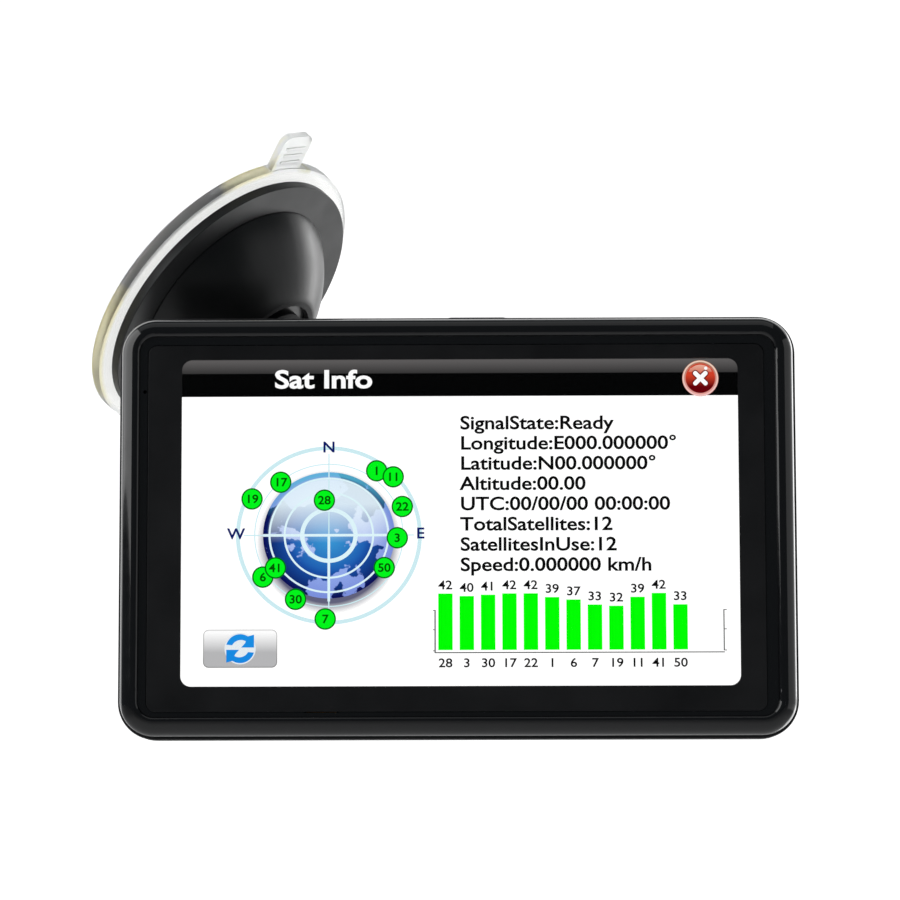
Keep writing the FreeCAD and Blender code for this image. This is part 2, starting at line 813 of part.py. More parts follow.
def loudspeaker():
    """Speaker frame with its cone and magnet, and the dust mesh behind the grille."""
    back = "-unit_depth + back_wall"
    mesh = rod("speaker_radius - 1", "0.15", "speaker_x", "speaker_y", back)
    register(mesh, "speaker_mesh", "unit")
    frame = rod("speaker_radius", "2.4", "speaker_x", "speaker_y", f"{back} + 0.2")
    bowl = doc.addObject("Part::Cone", "Bowl")
    bind(bowl, Radius1="speaker_radius - 1", Radius2="6", Height="2")
    bind(
        bowl, Placement__Base__x="speaker_x", Placement__Base__y="speaker_y",
        Placement__Base__z=f"{back} + 0.2",
    )
    throat = rod("6", "0.6", "speaker_x", "speaker_y", f"{back} + 2.2")
    register(cut(frame, bowl, throat), "speaker_frame", "unit")
    cone = new_body("speaker_cone", "unit")
    section = new_sketch(cone, "XZ_Plane")
    outline(
        section,
        [
            ("0", "2.1"),
            ("4.8", "2.1"),
            ("speaker_radius - 1.8", "0.2"),
            ("speaker_radius - 1.8", "0.38"),
            ("4.9", "2.35"),
            ("0", "2.35"),
        ],
    )
    revolve(cone, section)
    cone.Placement = FRAMES["unit"] * FreeCAD.Placement(
        vector("speaker_x", "speaker_y", back), FreeCAD.Rotation()
    )
    magnet = rod("7", "1.6", "speaker_x", "speaker_y", f"{back} + 2.85")
    register(magnet, "speaker_magnet", "unit")


def battery():
    """Flat cell, its two leads and their plug on the board."""
    low = "-unit_depth + back_wall + 0.1"
    plate(
        "battery_pack", "unit", "battery_width", "battery_height", "1.5",
        "battery_x", "battery_y", low, "battery_thickness",
    )
    edge = "battery_x - battery_width / 2"
    wires = [rod("0.5", "5.4", f"{edge} - 5.4", y, "-9.3", "X") for y in ("6", "8")]
    plug = box("3.4", "5.4", "2", f"{edge} - 7.1", "7", f"{BOARD_BACK} - 2")
    register(fuse(plug, *wires), "battery_lead", "unit")
    speaker_edge = "speaker_x - speaker_radius"
    leads = [rod("0.4", "13", f"{speaker_edge} - 13.2", y, "-9.3", "X") for y in ("-23", "-21")]
    header = box("2.6", "4.6", "1.6", f"{speaker_edge} - 14.4", "-22", f"{BOARD_BACK} - 1.6")
    register(fuse(header, *leads), "speaker_lead", "unit")


def ribbons():
    """Flat flexible strips from the display and the touch panel to the board."""
    back = "-ledge_bottom - display_thickness - backlight_thickness"
    strip = box("20", "26", "0.12", "-6", "-20", f"{back} - 0.12")
    connector = box("22", "4", "0.85", "-6", "-31", f"{back} - 0.97")
    register(fuse(strip, connector), "display_ribbon", "unit")
    ribbon = new_body("touch_ribbon", "unit")
    section = new_sketch(ribbon, "YZ_Plane", "-30")
    outer = "-display_height / 2 + display_up - 0.45"
    bottom = "-board_front + 0.02"
    outline(
        section,
        [
            (f"{outer} + 2.4", "-ledge_top - 0.02"),
            (outer, "-ledge_top - 0.02"),
            (outer, bottom),
            (f"{outer} + 5", bottom),
            (f"{outer} + 5", f"{bottom} + 0.15"),
            (f"{outer} + 0.15", f"{bottom} + 0.15"),
            (f"{outer} + 0.15", "-ledge_top - 0.17"),
            (f"{outer} + 2.4", "-ledge_top - 0.17"),
        ],
    )
    pad(ribbon, section, "6")


def small_hardware():
    """Microphone, housing screws and board screws."""
    register(rod("1.5", "1.3", "mic_x", "mic_y", "-4.8"), "microphone", "unit")
    housing = []
    at_screws(lambda x, y: housing.append(
        screw("7.2", "screw_head", "1", x, y, "-unit_depth + 3")
    ))
    register(group(*housing), "housing_screws", "unit")
    board = [
        screw("3", "screw_head", "0.75", x, y, "-board_front + 0.75", UPSIDE_DOWN)
        for x, y in BOARD_SCREWS
    ]
    register(group(*board), "board_screws", "unit")


# ---------------------------------------------------------------- cradle and knuckle

CRADLE_BACK = "(pin_behind_front - unit_depth - channel_depth - cradle_gap - cradle_thickness)"
DISC_FRONT = f"({CRADLE_BACK} - fit_gap)"


def cradle():
    """Plate that turns on the knuckle's spindle and carries the rail for the navigator."""
    body = new_body("cradle_plate", "cradle")
    sketch = new_sketch(body, offset=CRADLE_BACK)
    rectangle(sketch, "cradle_width", "cradle_height", "6", "0", "-2")
    pad(body, sketch, "cradle_thickness")
    soften(body, "0.8", at_height(CRADLE_BACK))
    neck = new_sketch(body, offset=f"{CRADLE_BACK} + cradle_thickness - 0.5")
    rectangle(neck, "rail_neck", "rail_length", None)
    head_low = "pin_behind_front - unit_depth - channel_undercut + 0.15"
    pad(body, neck, f"{head_low} + 1 - ({CRADLE_BACK} + cradle_thickness - 0.5)")
    head = new_sketch(body, offset=head_low)
    rectangle(head, "rail_head", "rail_length", None)
    pad(body, head, "rail_head_thickness")
    bore = new_sketch(body, offset="pin_behind_front")
    circle(bore, "spindle_radius + running_gap")
    pocket(body, bore, "pin_behind_front")
    well = new_sketch(body, offset="pin_behind_front")
    circle(well, "spindle_radius + 1.6")
    pocket(body, well, f"pin_behind_front - {CRADLE_BACK} - cradle_thickness + 0.25")
    return body


def knuckle():
    """Clevis on the hinge pin with the disc and spindle that the cradle turns on."""
    body = new_body("hinge_knuckle", "knuckle")
    disc = new_sketch(body, offset=f"{DISC_FRONT} - disc_thickness")
    circle(disc, "disc_radius")
    pad(body, disc, "disc_thickness")
    spindle = new_sketch(body, offset=f"{DISC_FRONT} - 0.5")
    circle(spindle, "spindle_radius")
    pad(body, spindle, "cradle_thickness + fit_gap + 0.3")
    ear_start = "tongue_half + washer_thickness + 2 * running_gap"
    for side in ("-1", "1"):
        start = ear_start if side == "1" else f"-({ear_start}) - ear_thickness"
        ear = new_sketch(body, "YZ_Plane", start)
        outline(
            ear,
            [
                ("-eye_radius", "0"),
                ("eye_radius", "0"),
                ("eye_radius", f"{DISC_FRONT} - 1"),
                ("-eye_radius", f"{DISC_FRONT} - 1"),
            ],
        )
        pad(body, ear, "ear_thickness")
        round_end = new_sketch(body, "YZ_Plane", start)
        circle(round_end, "eye_radius")
        pad(body, round_end, "ear_thickness")
    bore = new_sketch(body, "YZ_Plane", "-20")
    circle(bore, "bolt_radius + running_gap")
    pocket(body, bore, "40", Reversed=True)
    pilot = new_sketch(body, offset="pin_behind_front")
    circle(pilot, "1.21")
    pocket(body, pilot, f"pin_behind_front - {DISC_FRONT} + 2")
    return body


def knuckle_hardware():
    """Washers, through bolt, clamp knob and the screw that keeps the cradle on its spindle."""
    washers = []
    for start in ("tongue_half + running_gap", "-tongue_half - running_gap - washer_thickness"):
        ring = rod("eye_radius - 1", "washer_thickness", start, "0", "0", "X")
        hole = rod("bolt_radius + 0.1", "washer_thickness", start, "0", "0", "X")
        washers.append(cut(ring, hole))
    register(group(*washers), "friction_washers", "knuckle")
    outside = "tongue_half + washer_thickness + 2 * running_gap + ear_thickness"
    shank = rod("bolt_radius", f"2 * ({outside}) + 7.3", f"-({outside})", "0", "0", "X")
    head = doc.addObject("Part::Prism", "HexHead")
    head.Polygon = 6
    head.Placement.Rotation = FreeCAD.Rotation(BACK, 90)
    bind(head, Circumradius="bolt_radius * 1.8", Height="3", Placement__Base__x=f"-({outside}) - 3")
    register(fuse(shank, head), "hinge_bolt", "knuckle")

    knob = new_body("clamp_knob", "knuckle")
    start = f"{outside} + 0.3"
    base = new_sketch(knob, "YZ_Plane", start)
    circle(base, "knob_radius")
    pad(knob, base, "knob_length")
    tip = value(f"{start} + knob_length")
    soften(knob, "1.2", lambda p: abs(p.x - tip) < 1e-4)
    flutes = new_sketch(knob, "YZ_Plane", f"{start} - 1")
    count = 8
    for number in range(count):
        angle = f"{number * 360 / count} deg"
        reach = "(knob_radius + 0.7)"
        circle(flutes, "1.5", f"{reach} * cos({angle})", f"{reach} * sin({angle})")
    pocket(knob, flutes, "knob_length + 2", Reversed=True)
    socket = new_sketch(knob, "YZ_Plane", f"{start} - 1")
    circle(socket, "3.6")
    pocket(knob, socket, "knob_length - 0.6", Reversed=True)
    insert = rod("3.55", "6", start, "0", "0", "X")
    thread = rod("bolt_radius + running_gap", "7", f"{start} - 0.5", "0", "0", "X")
    register(cut(insert, thread), "knob_insert", "knuckle")

    top = f"{CRADLE_BACK} + cradle_thickness - 0.2"
    washer = rod("spindle_radius + 1.4", "0.8", "0", "0", top)
    hole = rod("1.3", "0.8", "0", "0", top)
    register(cut(washer, hole), "cradle_washer", "knuckle")
    retainer = screw("4.6", "2.6", "1.4", "0", "0", f"{top} + 2.2", UPSIDE_DOWN, "1.2")
    register(retainer, "cradle_screw", "knuckle")


# ---------------------------------------------------------------- arm

ARM_SCREWS = ("arm_screw_low", "arm_screw_high")


def arm_half(label, on_pin_side):
    """One moulded half of the arm: half a collar round the bell's neck, and half the tongue."""
    body = new_body(label, "mount")
    collar = new_sketch(body, "XZ_Plane")
    outline(
        collar,
        [
            ("neck_radius + 0.1", "collar_bottom"),
            ("collar_radius", "collar_bottom"),
            ("collar_radius", "collar_top - 3", "3.5"),
            ("collar_radius - 3", "collar_top"),
            ("0", "collar_top"),
            ("0", "head_top + 0.15"),
            ("head_radius + 0.1", "head_top + 0.15"),
            ("head_radius + 0.1", "neck_top - 0.15"),
            ("neck_radius + 0.1", "neck_top - 0.15"),
        ],
    )
    revolve(body, collar, 180, flip=not on_pin_side)
    beam = new_sketch(body, "XZ_Plane")
    outline(
        beam,
        [
            ("-arm_half_width", "head_top + 1"),
            ("arm_half_width", "head_top + 1"),
            ("arm_half_width", "stem_to_pin - eye_radius"),
            ("eye_radius", "stem_to_pin"),
            ("-eye_radius", "stem_to_pin"),
            ("-arm_half_width", "stem_to_pin - eye_radius"),
        ],
    )
    pad(body, beam, "tongue_half", Reversed=on_pin_side)
    eye = new_sketch(body, "XZ_Plane")
    circle(eye, "eye_radius", "0", "stem_to_pin")
    pad(body, eye, "tongue_half", Reversed=on_pin_side)
    bore = new_sketch(body, "XZ_Plane", "-20")
    circle(bore, "bolt_radius + 0.1", "0", "stem_to_pin")
    pocket(body, bore, "40", Reversed=True)
    holes = new_sketch(body, "XZ_Plane", "-20")
    for along in ARM_SCREWS:
        circle(holes, "screw_radius + 0.01" if on_pin_side else "screw_radius + 0.15", "0", along)
    pocket(body, holes, "40", Reversed=True)
    if not on_pin_side:
        heads = new_sketch(body, "XZ_Plane", "tongue_half + 0.1")
        for along in ARM_SCREWS:
            circle(heads, "screw_head + 0.2", "0", along)
        pocket(body, heads, "1.4")
    recess = new_sketch(body, "XZ_Plane")
    rectangle(
        recess, "2 * arm_half_width - 4", "arm_screw_high - arm_screw_low - 5", "1.5", "0",
        "(arm_screw_high + arm_screw_low) / 2",
    )
    pocket(body, recess, "tongue_half - 1.6", Reversed=not on_pin_side)


def arm_screws():
    """Two screws that clamp the arm's halves on the bell's neck."""
    clamps = [
        screw("5.6", "screw_head", "1.1", "0", "-tongue_half + 0.1", along, ALONG_Y)
        for along in ARM_SCREWS
    ]
    register(group(*clamps), "arm_screws", "mount")


# ---------------------------------------------------------------- suction cup and its bell


def suction_cup():
    """Clear cup: a flat sealing ring round a shallow hollow, a hub for the stem, and a pull tab."""
    body = new_body("suction_cup", "mount")
    section = new_sketch(body, "XZ_Plane")
    outline(
        section,
        [
            ("0", "hollow_depth"),
            ("cup_radius - 9", "hollow_depth"),
            ("cup_radius - 6", "0"),
            ("cup_radius", "0"),
            ("cup_radius - 0.2", "cup_rim"),
            ("flange_radius - 1", "cup_top"),
            ("foot_radius + 4", "cup_top"),
            ("foot_radius + 2", "hub_top"),
            ("stem_radius + 0.1", "hub_top"),
            ("stem_radius + 0.1", "hub_top - 0.75"),
            ("foot_radius + 0.1", "hub_top - 0.75"),
            ("foot_radius + 0.1", "hollow_depth + 0.75"),
            ("0", "hollow_depth + 0.75"),
        ],
    )
    revolve(body, section)
    tab_low = "0.35"
    tab = new_sketch(body, offset=tab_low, turn="-tab_angle")
    inner = "cup_radius - 3"
    rectangle(
        tab, "tab_width", f"tab_reach - ({inner})", "2.2", "0", f"(tab_reach + {inner}) / 2"
    )
    pad(body, tab, "tab_thickness")
    for number in range(3):
        ridge = new_sketch(body, offset=f"{tab_low} + tab_thickness - 0.1", turn="-tab_angle")
        rectangle(ridge, "tab_width - 2.8", "0.7", "0.3", "0", f"tab_reach - 3 - {number} * 1.7")
        pad(body, ridge, "0.5")


def bell_housing():
    """Flange, dome, cam seat and the mushroom-headed neck that the arm turns on."""
    body = new_body("bell_housing", "mount")
    section = new_sketch(body, "XZ_Plane")
    outline(
        section,
        [
            ("flange_radius", "bell_bottom"),
            ("flange_radius", "bell_flange"),
            ("dome_base", "bell_flange"),
            ("dome_base", "bell_flange + 0.3", "dome_curve"),
            ("dome_mouth", "dome_top"),
            ("dome_mouth - 1.2", "dome_top"),
            ("dome_mouth - 1.2", "dome_top - 1.5"),
            ("bell_boss", "dome_top - 1.5"),
            ("bell_boss", "boss_top"),
            ("neck_radius", "boss_top"),
            ("neck_radius", "neck_top"),
            ("head_radius", "neck_top"),
            ("head_radius", "head_top"),
            ("0", "head_top"),
            ("0", "dome_top - 1.3"),
            ("6", "dome_top - 1.3"),
            ("6", "dome_top - 3"),
            ("dome_mouth + 1.7", "dome_top - 3", "-(dome_curve - 1.8)"),
            ("dome_base - 3.7", "seat_top"),
            ("stem_radius + 0.1", "seat_top"),
            ("stem_radius + 0.1", "seat_bottom"),
            ("dome_base - 2.6", "seat_bottom"),
            ("dome_base - 2.4", "bell_bottom"),
        ],
    )
    revolve(body, section)
    rim = value("flange_radius")
    soften(body, "0.15", lambda p: abs(p.z - value("bell_flange")) < 1e-4
           and math.hypot(p.x, p.y) > rim - 0.1)
    mouth = value("dome_top")
    soften(body, "0.4", lambda p: abs(p.z - mouth) < 1e-4 and math.hypot(p.x, p.y) > 11)
    slot = new_sketch(body, offset="boss_top + 0.02")
    rectangle(slot, "30 - 5.9", "2 * lever_half_width + 1.4", None, "(30 + 5.9) / 2")
    pocket(body, slot, "boss_top - seat_top - 0.9")


def cup_stem():
    """Stem whose foot is moulded into the cup and whose flat top carries the lever's pin."""
    body = new_body("cup_stem", "mount")
    section = new_sketch(body, "XZ_Plane")
    outline(
        section,
        [
            ("0", "hollow_depth + 0.8"),
            ("foot_radius", "hollow_depth + 0.8"),
            ("foot_radius", "hub_top - 0.8"),
            ("stem_radius", "hub_top - 0.8"),
            ("stem_radius", "seat_top + stem_stroke + 0.5"),
            ("0", "seat_top + stem_stroke + 0.5"),
        ],
    )
    revolve(body, section)
    blade_low = "(seat_top + stem_stroke + 0.15)"
    blade = new_sketch(body, offset=blade_low)
    rectangle(blade, "6", "lever_fork - 0.7", "0.6")
    pad(body, blade, f"lever_pin_height + 2.2 - {blade_low}")
    hole = new_sketch(body, "XZ_Plane", "-10")
    circle(hole, "lever_pin_radius + running_gap", "0", "lever_pin_height")
    pocket(body, hole, "20", Reversed=True)


CAM_HIGH = "(lever_pin_height - seat_top - running_gap)"
CAM_LOW = f"({CAM_HIGH} - stem_stroke)"
CAM_RATE = "(stem_stroke / (lever_angle * pi / 180))"


def cam_lever():
    """Forked lever. Its cam face is the curve whose lift on a flat seat is linear in the angle."""
    body = new_body("cam_lever", "mount")
    section = new_sketch(body, "XZ_Plane", "-lever_half_width")
    turned = "(lever_angle * 1 deg)"
    low_x = f"-{CAM_LOW} * sin{turned}"
    low_z = f"-{CAM_LOW} * cos{turned}"
    outline(
        section,
        [
            (low_x, f"lever_pin_height + {low_z}"),
            (
                f"{low_x} + {CAM_RATE} * cos{turned}",
                f"lever_pin_height + {low_z} - {CAM_RATE} * sin{turned}",
                f"({CAM_LOW} + {CAM_HIGH}) / 2",
            ),
            (CAM_RATE, f"lever_pin_height - {CAM_HIGH}"),
            ("8", "lever_pin_height - 2.4"),
            ("20", "lever_pin_height - 3"),
            ("lever_length", "lever_pin_height - 6"),
            ("lever_length + 0.6", "lever_pin_height + lever_thickness - 6"),
            ("20", "lever_pin_height + lever_thickness - 3"),
            ("7", "lever_pin_height - 0.2"),
            ("0", f"lever_pin_height + {CAM_LOW}", CAM_LOW),
        ],
    )
    pad(body, section, "2 * lever_half_width")
    tip = value("lever_length") - 0.1
    soften(body, "0.8", lambda p: p.x > tip)
    fork = new_sketch(body, offset="lever_pin_height + 5")
    rectangle(fork, "13", "lever_fork", None)
    pocket(body, fork, "10")
    hole = new_sketch(body, "XZ_Plane", "-10")
    circle(hole, "lever_pin_radius + 0.01", "0", "lever_pin_height")
    pocket(body, hole, "20", Reversed=True)
    pin = rod(
        "lever_pin_radius", "2 * lever_half_width - 0.2", "0", "-lever_half_width + 0.1",
        "lever_pin_height", "Y",
    )
    register(pin, "lever_pin", "mount")


def return_spring():
    """Dished spring washer round the stem that pushes the cup's hub away from the seat."""
    body = new_body("return_spring", "mount")
    section = new_sketch(body, "XZ_Plane")
    low = "hub_top + running_gap"
    high = "seat_bottom - running_gap"
    outline(
        section,
        [
            ("stem_radius + 0.3", f"{high} - 0.4"),
            ("stem_radius + 4.3", low),
            ("stem_radius + 4.6", f"{low} + 0.4"),
            ("stem_radius + 0.6", high),
        ],
    )
    revolve(body, section)


# ---------------------------------------------------------------- the whole assembly

suction_cup()
bell_housing()
cup_stem()
cam_lever()
return_spring()
arm_half("arm_left_half", True)
arm_half("arm_right_half", False)
arm_screws()
knuckle()
knuckle_hardware()
cradle()
front_bezel()
rear_housing()
touch_stack()
main_board()
chips()
sockets()
antenna()
loudspeaker()
battery()
ribbons()
small_hardware()
power_button()
doc.recompute()

for item in doc.Objects:
    if "Invalid" in item.State or "Error" in item.State:
        raise RuntimeError(f"{item.Label} did not build: {item.State}")
for piece in pieces:
    if piece.Shape.isNull() or not piece.Shape.isValid():
        raise RuntimeError(f"{piece.Label} has no valid shape")

os.makedirs("parts", exist_ok=True)
for piece in pieces:
    piece.Shape.exportStep(f"parts/{piece.Label}.step")
    print(f"{piece.Label}: {len(piece.Shape.Solids)} solid(s), {piece.Shape.Volume:.0f} mm3")
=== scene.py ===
import json
import math

import bmesh
import bpy
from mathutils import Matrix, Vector


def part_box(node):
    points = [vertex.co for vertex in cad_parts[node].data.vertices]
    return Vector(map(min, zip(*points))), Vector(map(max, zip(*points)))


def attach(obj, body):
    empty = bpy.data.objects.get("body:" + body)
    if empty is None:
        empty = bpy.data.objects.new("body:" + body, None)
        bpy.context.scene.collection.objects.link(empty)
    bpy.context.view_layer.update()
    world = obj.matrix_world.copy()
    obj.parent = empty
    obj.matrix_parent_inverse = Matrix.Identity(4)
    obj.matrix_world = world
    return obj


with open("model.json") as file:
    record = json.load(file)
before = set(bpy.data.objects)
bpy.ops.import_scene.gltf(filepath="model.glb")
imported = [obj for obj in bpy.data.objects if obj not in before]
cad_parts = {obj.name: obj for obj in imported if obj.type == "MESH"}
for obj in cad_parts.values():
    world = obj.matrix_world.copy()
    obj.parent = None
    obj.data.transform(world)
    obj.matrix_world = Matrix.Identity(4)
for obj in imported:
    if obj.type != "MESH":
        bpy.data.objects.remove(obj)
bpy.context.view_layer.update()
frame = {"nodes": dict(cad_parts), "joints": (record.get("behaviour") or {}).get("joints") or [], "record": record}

MM = 0.001
scene = bpy.context.scene
joints = {joint["name"]: joint for joint in frame["joints"]}

# ------------------------------------------------------------------ places in the frame

bezel_low, bezel_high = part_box("front_bezel")
FRONT = bezel_low.y
CENTRE = Vector(((bezel_low.x + bezel_high.x) / 2, FRONT, (bezel_low.z + bezel_high.z) / 2))
MOUNT_AXIS = Vector(joints["arm_swivel"]["axis"]).normalized()
PIN_AXIS = Vector(joints["arm_tilt"]["axis"]).normalized()
ACROSS = PIN_AXIS.cross(MOUNT_AXIS)

# The screen's window, in millimetres from the housing's middle. What the display shows is laid
# out in millimetres too, and is spread by a trace across and down to fill the window.
WINDOW_WIDTH = 110.8
WINDOW_HEIGHT = 65.2
WINDOW_RIGHT = 0.5
WINDOW_UP = 0.7
SPREAD = 1.002
STRETCH = 1.0085
DISPLAY_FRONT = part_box("lcd_panel")[0].y
SCREEN_DEPTH = DISPLAY_FRONT - 0.05 * MM


def screen_point(x, y, lift=0.0):
    """A point of the screen in millimetres, x right and y down from the window's corner."""
    return Vector((
        CENTRE.x + (WINDOW_RIGHT - WINDOW_WIDTH / 2 + x * SPREAD) * MM,
        SCREEN_DEPTH - lift * MM,
        CENTRE.z + (WINDOW_UP + WINDOW_HEIGHT / 2 - y * STRETCH) * MM,
    ))


# ------------------------------------------------------------------ material helpers


class Shader:
    """A procedural material under construction: a Principled shader and the nodes that feed it."""

    def __init__(self, name, color, roughness, **inputs):
        self.material = bpy.data.materials.new(name)
        self.material.use_nodes = True
        self.tree = self.material.node_tree
        self.principled = self.tree.nodes["Principled BSDF"]
        self.set("Base Color", (*color, 1.0))
        self.set("Roughness", roughness)
        for socket, setting in inputs.items():
            self.set(socket.replace("_", " "), setting)
        self.position = self.add("ShaderNodeTexCoord").outputs["Object"]

    def set(self, socket, setting):
        self.principled.inputs[socket].default_value = setting

    def add(self, kind, links=None, **settings):
        """A node with some properties or inputs set, and others linked."""
        node = self.tree.nodes.new(kind)
        for name, setting in settings.items():
            if name in node.inputs:
                node.inputs[name].default_value = setting
            else:
                setattr(node, name, setting)
        for socket, source in (links or {}).items():
            self.tree.links.new(source, node.inputs[socket])
        return node

    def feed(self, socket, source):
        self.tree.links.new(source, self.principled.inputs[socket])

    def noise(self, size_mm, detail=3.0, stretch=(1, 1, 1)):
        """Noise whose features measure about size_mm."""
        spread = self.add("ShaderNodeMapping", {"Vector": self.position}, Scale=stretch)
        node = self.add(
            "ShaderNodeTexNoise", {"Vector": spread.outputs["Vector"]},
            Scale=1.0 / (size_mm * MM), Detail=detail,
        )
        return node.outputs["Fac"]

    def ranged(self, source, low, high, start=0.3, end=0.7):
        """A factor spread over a range of values."""
        node = self.add(
            "ShaderNodeMapRange", {"Value": source},
            **{"From Min": start, "From Max": end, "To Min": low, "To Max": high},
        )
        return node.outputs["Result"]

    def bumps(self, *layers):
        """Stack bump layers of (height source, depth in mm, strength)."""
        normal = None
        for height, depth, strength in layers:
            links = {"Height": height}
            if normal is not None:
                links["Normal"] = normal
            node = self.add("ShaderNodeBump", links, Strength=strength, Distance=depth * MM)
            normal = node.outputs["Normal"]
        self.feed("Normal", normal)

    def blend(self, factor, first, second):
        """A colour between two, by a factor."""
        node = self.add("ShaderNodeMix", data_type="RGBA")
        self.tree.links.new(factor, node.inputs["Factor"])
        node.inputs["A"].default_value = (*first, 1.0)
        node.inputs["B"].default_value = (*second, 1.0)
        return node.outputs["Result"]

    def mixed(self, factor, first, second):
        """A colour between a linked one and another, linked or plain, by a factor."""
        node = self.add("ShaderNodeMix", data_type="RGBA")
        self.tree.links.new(factor, node.inputs["Factor"])
        self.tree.links.new(first, node.inputs["A"])
        if isinstance(second, tuple):
            node.inputs["B"].default_value = (*second, 1.0)
        else:
            self.tree.links.new(second, node.inputs["B"])
        return node.outputs["Result"]


def gloss_plastic(name, color, roughness=0.06):
    """Polished moulding with faint smears and hairline scratches."""
    shader = Shader(name, color, roughness, Coat_Weight=0.4, Coat_Roughness=0.04)
    smears = shader.noise(9, 4.0, (1, 1, 2.2))
    shader.feed("Roughness", shader.ranged(smears, roughness * 0.7, roughness * 2.2))
    scratches = shader.noise(0.5, 2.0, (0.06, 1, 1))
    ripples = shader.noise(30, 1.0)
    shader.bumps((ripples, 0.02, 0.25), (scratches, 0.001, 0.3))
    return shader.material


def matt_plastic(name, color, roughness=0.5, grain=0.22, depth=0.02):
    """Spark-textured moulding: a fine grain, with slow changes of sheen and tone."""
    shader = Shader(name, color, roughness, Specular_IOR_Level=0.28)
    tone = shader.noise(14, 4.0)
    lighter = tuple(channel * 1.5 + 0.002 for channel in color)
    shader.feed("Base Color", shader.blend(shader.ranged(tone, 0, 1), color, lighter))
    shader.feed("Roughness", shader.ranged(tone, roughness - 0.06, roughness + 0.08))
    cells = shader.add(
        "ShaderNodeTexVoronoi", {"Vector": shader.position}, Scale=1 / (grain * MM)
    )
    shader.bumps((shader.noise(grain, 2.0), depth, 0.35), (cells.outputs["Distance"], depth, 0.25))
    return shader.material


def metal(name, color, roughness=0.3, brushed=(1, 1, 1)):
    """Plated metal with fine brushing and dull patches."""
    shader = Shader(name, color, roughness, Metallic=1.0)
    patches = shader.noise(2.5, 4.0)
    shader.feed("Roughness", shader.ranged(patches, roughness * 0.75, roughness * 1.5))
    dark = tuple(channel * 0.75 for channel in color)
    shader.feed("Base Color", shader.blend(shader.ranged(patches, 0, 1), color, dark))
    shader.bumps((shader.noise(0.12, 2.0, brushed), 0.004, 0.4))
    return shader.material


# ------------------------------------------------------------------ materials of the CAD pieces


def along(shader, direction):
    """How far a point lies along a direction."""
    node = shader.add("ShaderNodeVectorMath", {0: shader.position}, operation="DOT_PRODUCT")
    node.inputs[1].default_value = direction
    return node.outputs["Value"]


def bell_material():
    """Satin dome above a duller, lightly grained flange, and a dull neck."""
    shader = Shader("bell_satin", (0.006, 0.007, 0.007), 0.3)
    height = along(shader, MOUNT_AXIS)
    on_dome = shader.ranged(height, 0, 1, 5.15 * MM, 5.45 * MM)
    shader.feed(
        "Base Color", shader.blend(on_dome, (0.018, 0.019, 0.020), (0.0055, 0.006, 0.0065))
    )
    sheen = shader.noise(7, 3.0)
    dull = shader.ranged(sheen, 0.42, 0.5)
    satin = shader.ranged(sheen, 0.3, 0.36)
    mixed = shader.add("ShaderNodeMix", {"Factor": on_dome, "A": dull, "B": satin})
    at_neck = shader.ranged(height, 0, 1, 18.2 * MM, 18.8 * MM)
    necked = shader.add("ShaderNodeMix", {"Factor": at_neck, "A": mixed.outputs["Result"]}, B=0.6)
    shader.feed("Roughness", necked.outputs["Result"])
    shader.bumps((shader.noise(0.25, 2.0), 0.006, 0.25))
    return shader.material


# The vinyl's tint round its rim, by the share of half a turn from the hinge pin's direction.
VINYL_TINTS = (
    (0.00, (0.97, 0.98, 0.97)),
    (0.12, (0.97, 0.98, 0.97)),
    (0.14, (0.66, 0.66, 0.42)),
    (0.16, (0.98, 0.99, 0.98)),
    (0.235, (0.98, 0.99, 0.98)),
    (0.26, (1.00, 0.92, 0.50)),
    (0.345, (0.96, 0.88, 0.50)),
    (0.375, (0.20, 0.20, 0.21)),
    (0.64, (0.30, 0.30, 0.30)),
    (0.69, (0.95, 0.85, 0.42)),
    (0.93, (0.95, 0.89, 0.55)),
    (0.99, (0.96, 0.96, 0.93)),
)


def clear_vinyl():
    """Clear soft vinyl, yellowed in places round its rim and grey along one stretch of it, and hazier at the rim.
    """
    shader = Shader(
        "clear_vinyl", (0.99, 0.99, 0.97), 0.07, Transmission_Weight=0.85, IOR=1.22,
    )
    out = along(shader, PIN_AXIS)
    over = along(shader, -ACROSS)
    angle = shader.add("ShaderNodeMath", {0: over, 1: out}, operation="ARCTAN2")
    share = shader.ranged(angle.outputs["Value"], 0, 1, 0, math.pi)
    wander = shader.add("ShaderNodeMath", {0: share}, operation="ADD")
    shader.tree.links.new(shader.ranged(shader.noise(3, 2.0), -0.012, 0.012), wander.inputs[1])
    tints = shader.add("ShaderNodeValToRGB", {"Fac": wander.outputs["Value"]})
    ramp = tints.color_ramp
    for stop, tint in VINYL_TINTS[1:-1]:
        ramp.elements.new(stop).color = (*tint, 1.0)
    for number in (0, -1):
        stop, tint = VINYL_TINTS[number]
        ramp.elements[number].position = stop
        ramp.elements[number].color = (*tint, 1.0)
    squares = shader.add("ShaderNodeMath", {0: out, 1: out}, operation="MULTIPLY")
    reach = shader.add(
        "ShaderNodeMath", {0: over, 1: over, 2: squares.outputs["Value"]}, operation="MULTIPLY_ADD"
    )
    at_rim = shader.ranged(reach.outputs["Value"], 0, 1, (33.2 * MM) ** 2, (33.9 * MM) ** 2)
    at_rim_only = shader.add("ShaderNodeMix", {"Factor": at_rim}, data_type="RGBA")
    at_rim_only.inputs["A"].default_value = (0.99, 0.99, 0.97, 1.0)
    shader.tree.links.new(tints.outputs["Color"], at_rim_only.inputs["B"])
    shader.feed("Base Color", at_rim_only.outputs["Result"])
    clear = shader.ranged(shader.noise(3, 3.0), 0.06, 0.16)
    hazy = shader.add("ShaderNodeMix", {"Factor": at_rim, "A": clear}, B=0.42)
    shader.feed("Roughness", hazy.outputs["Result"])
    shader.bumps((shader.noise(4, 2.0), 0.05, 0.25), (shader.noise(0.4, 2.0), 0.003, 0.3))
    return shader.material


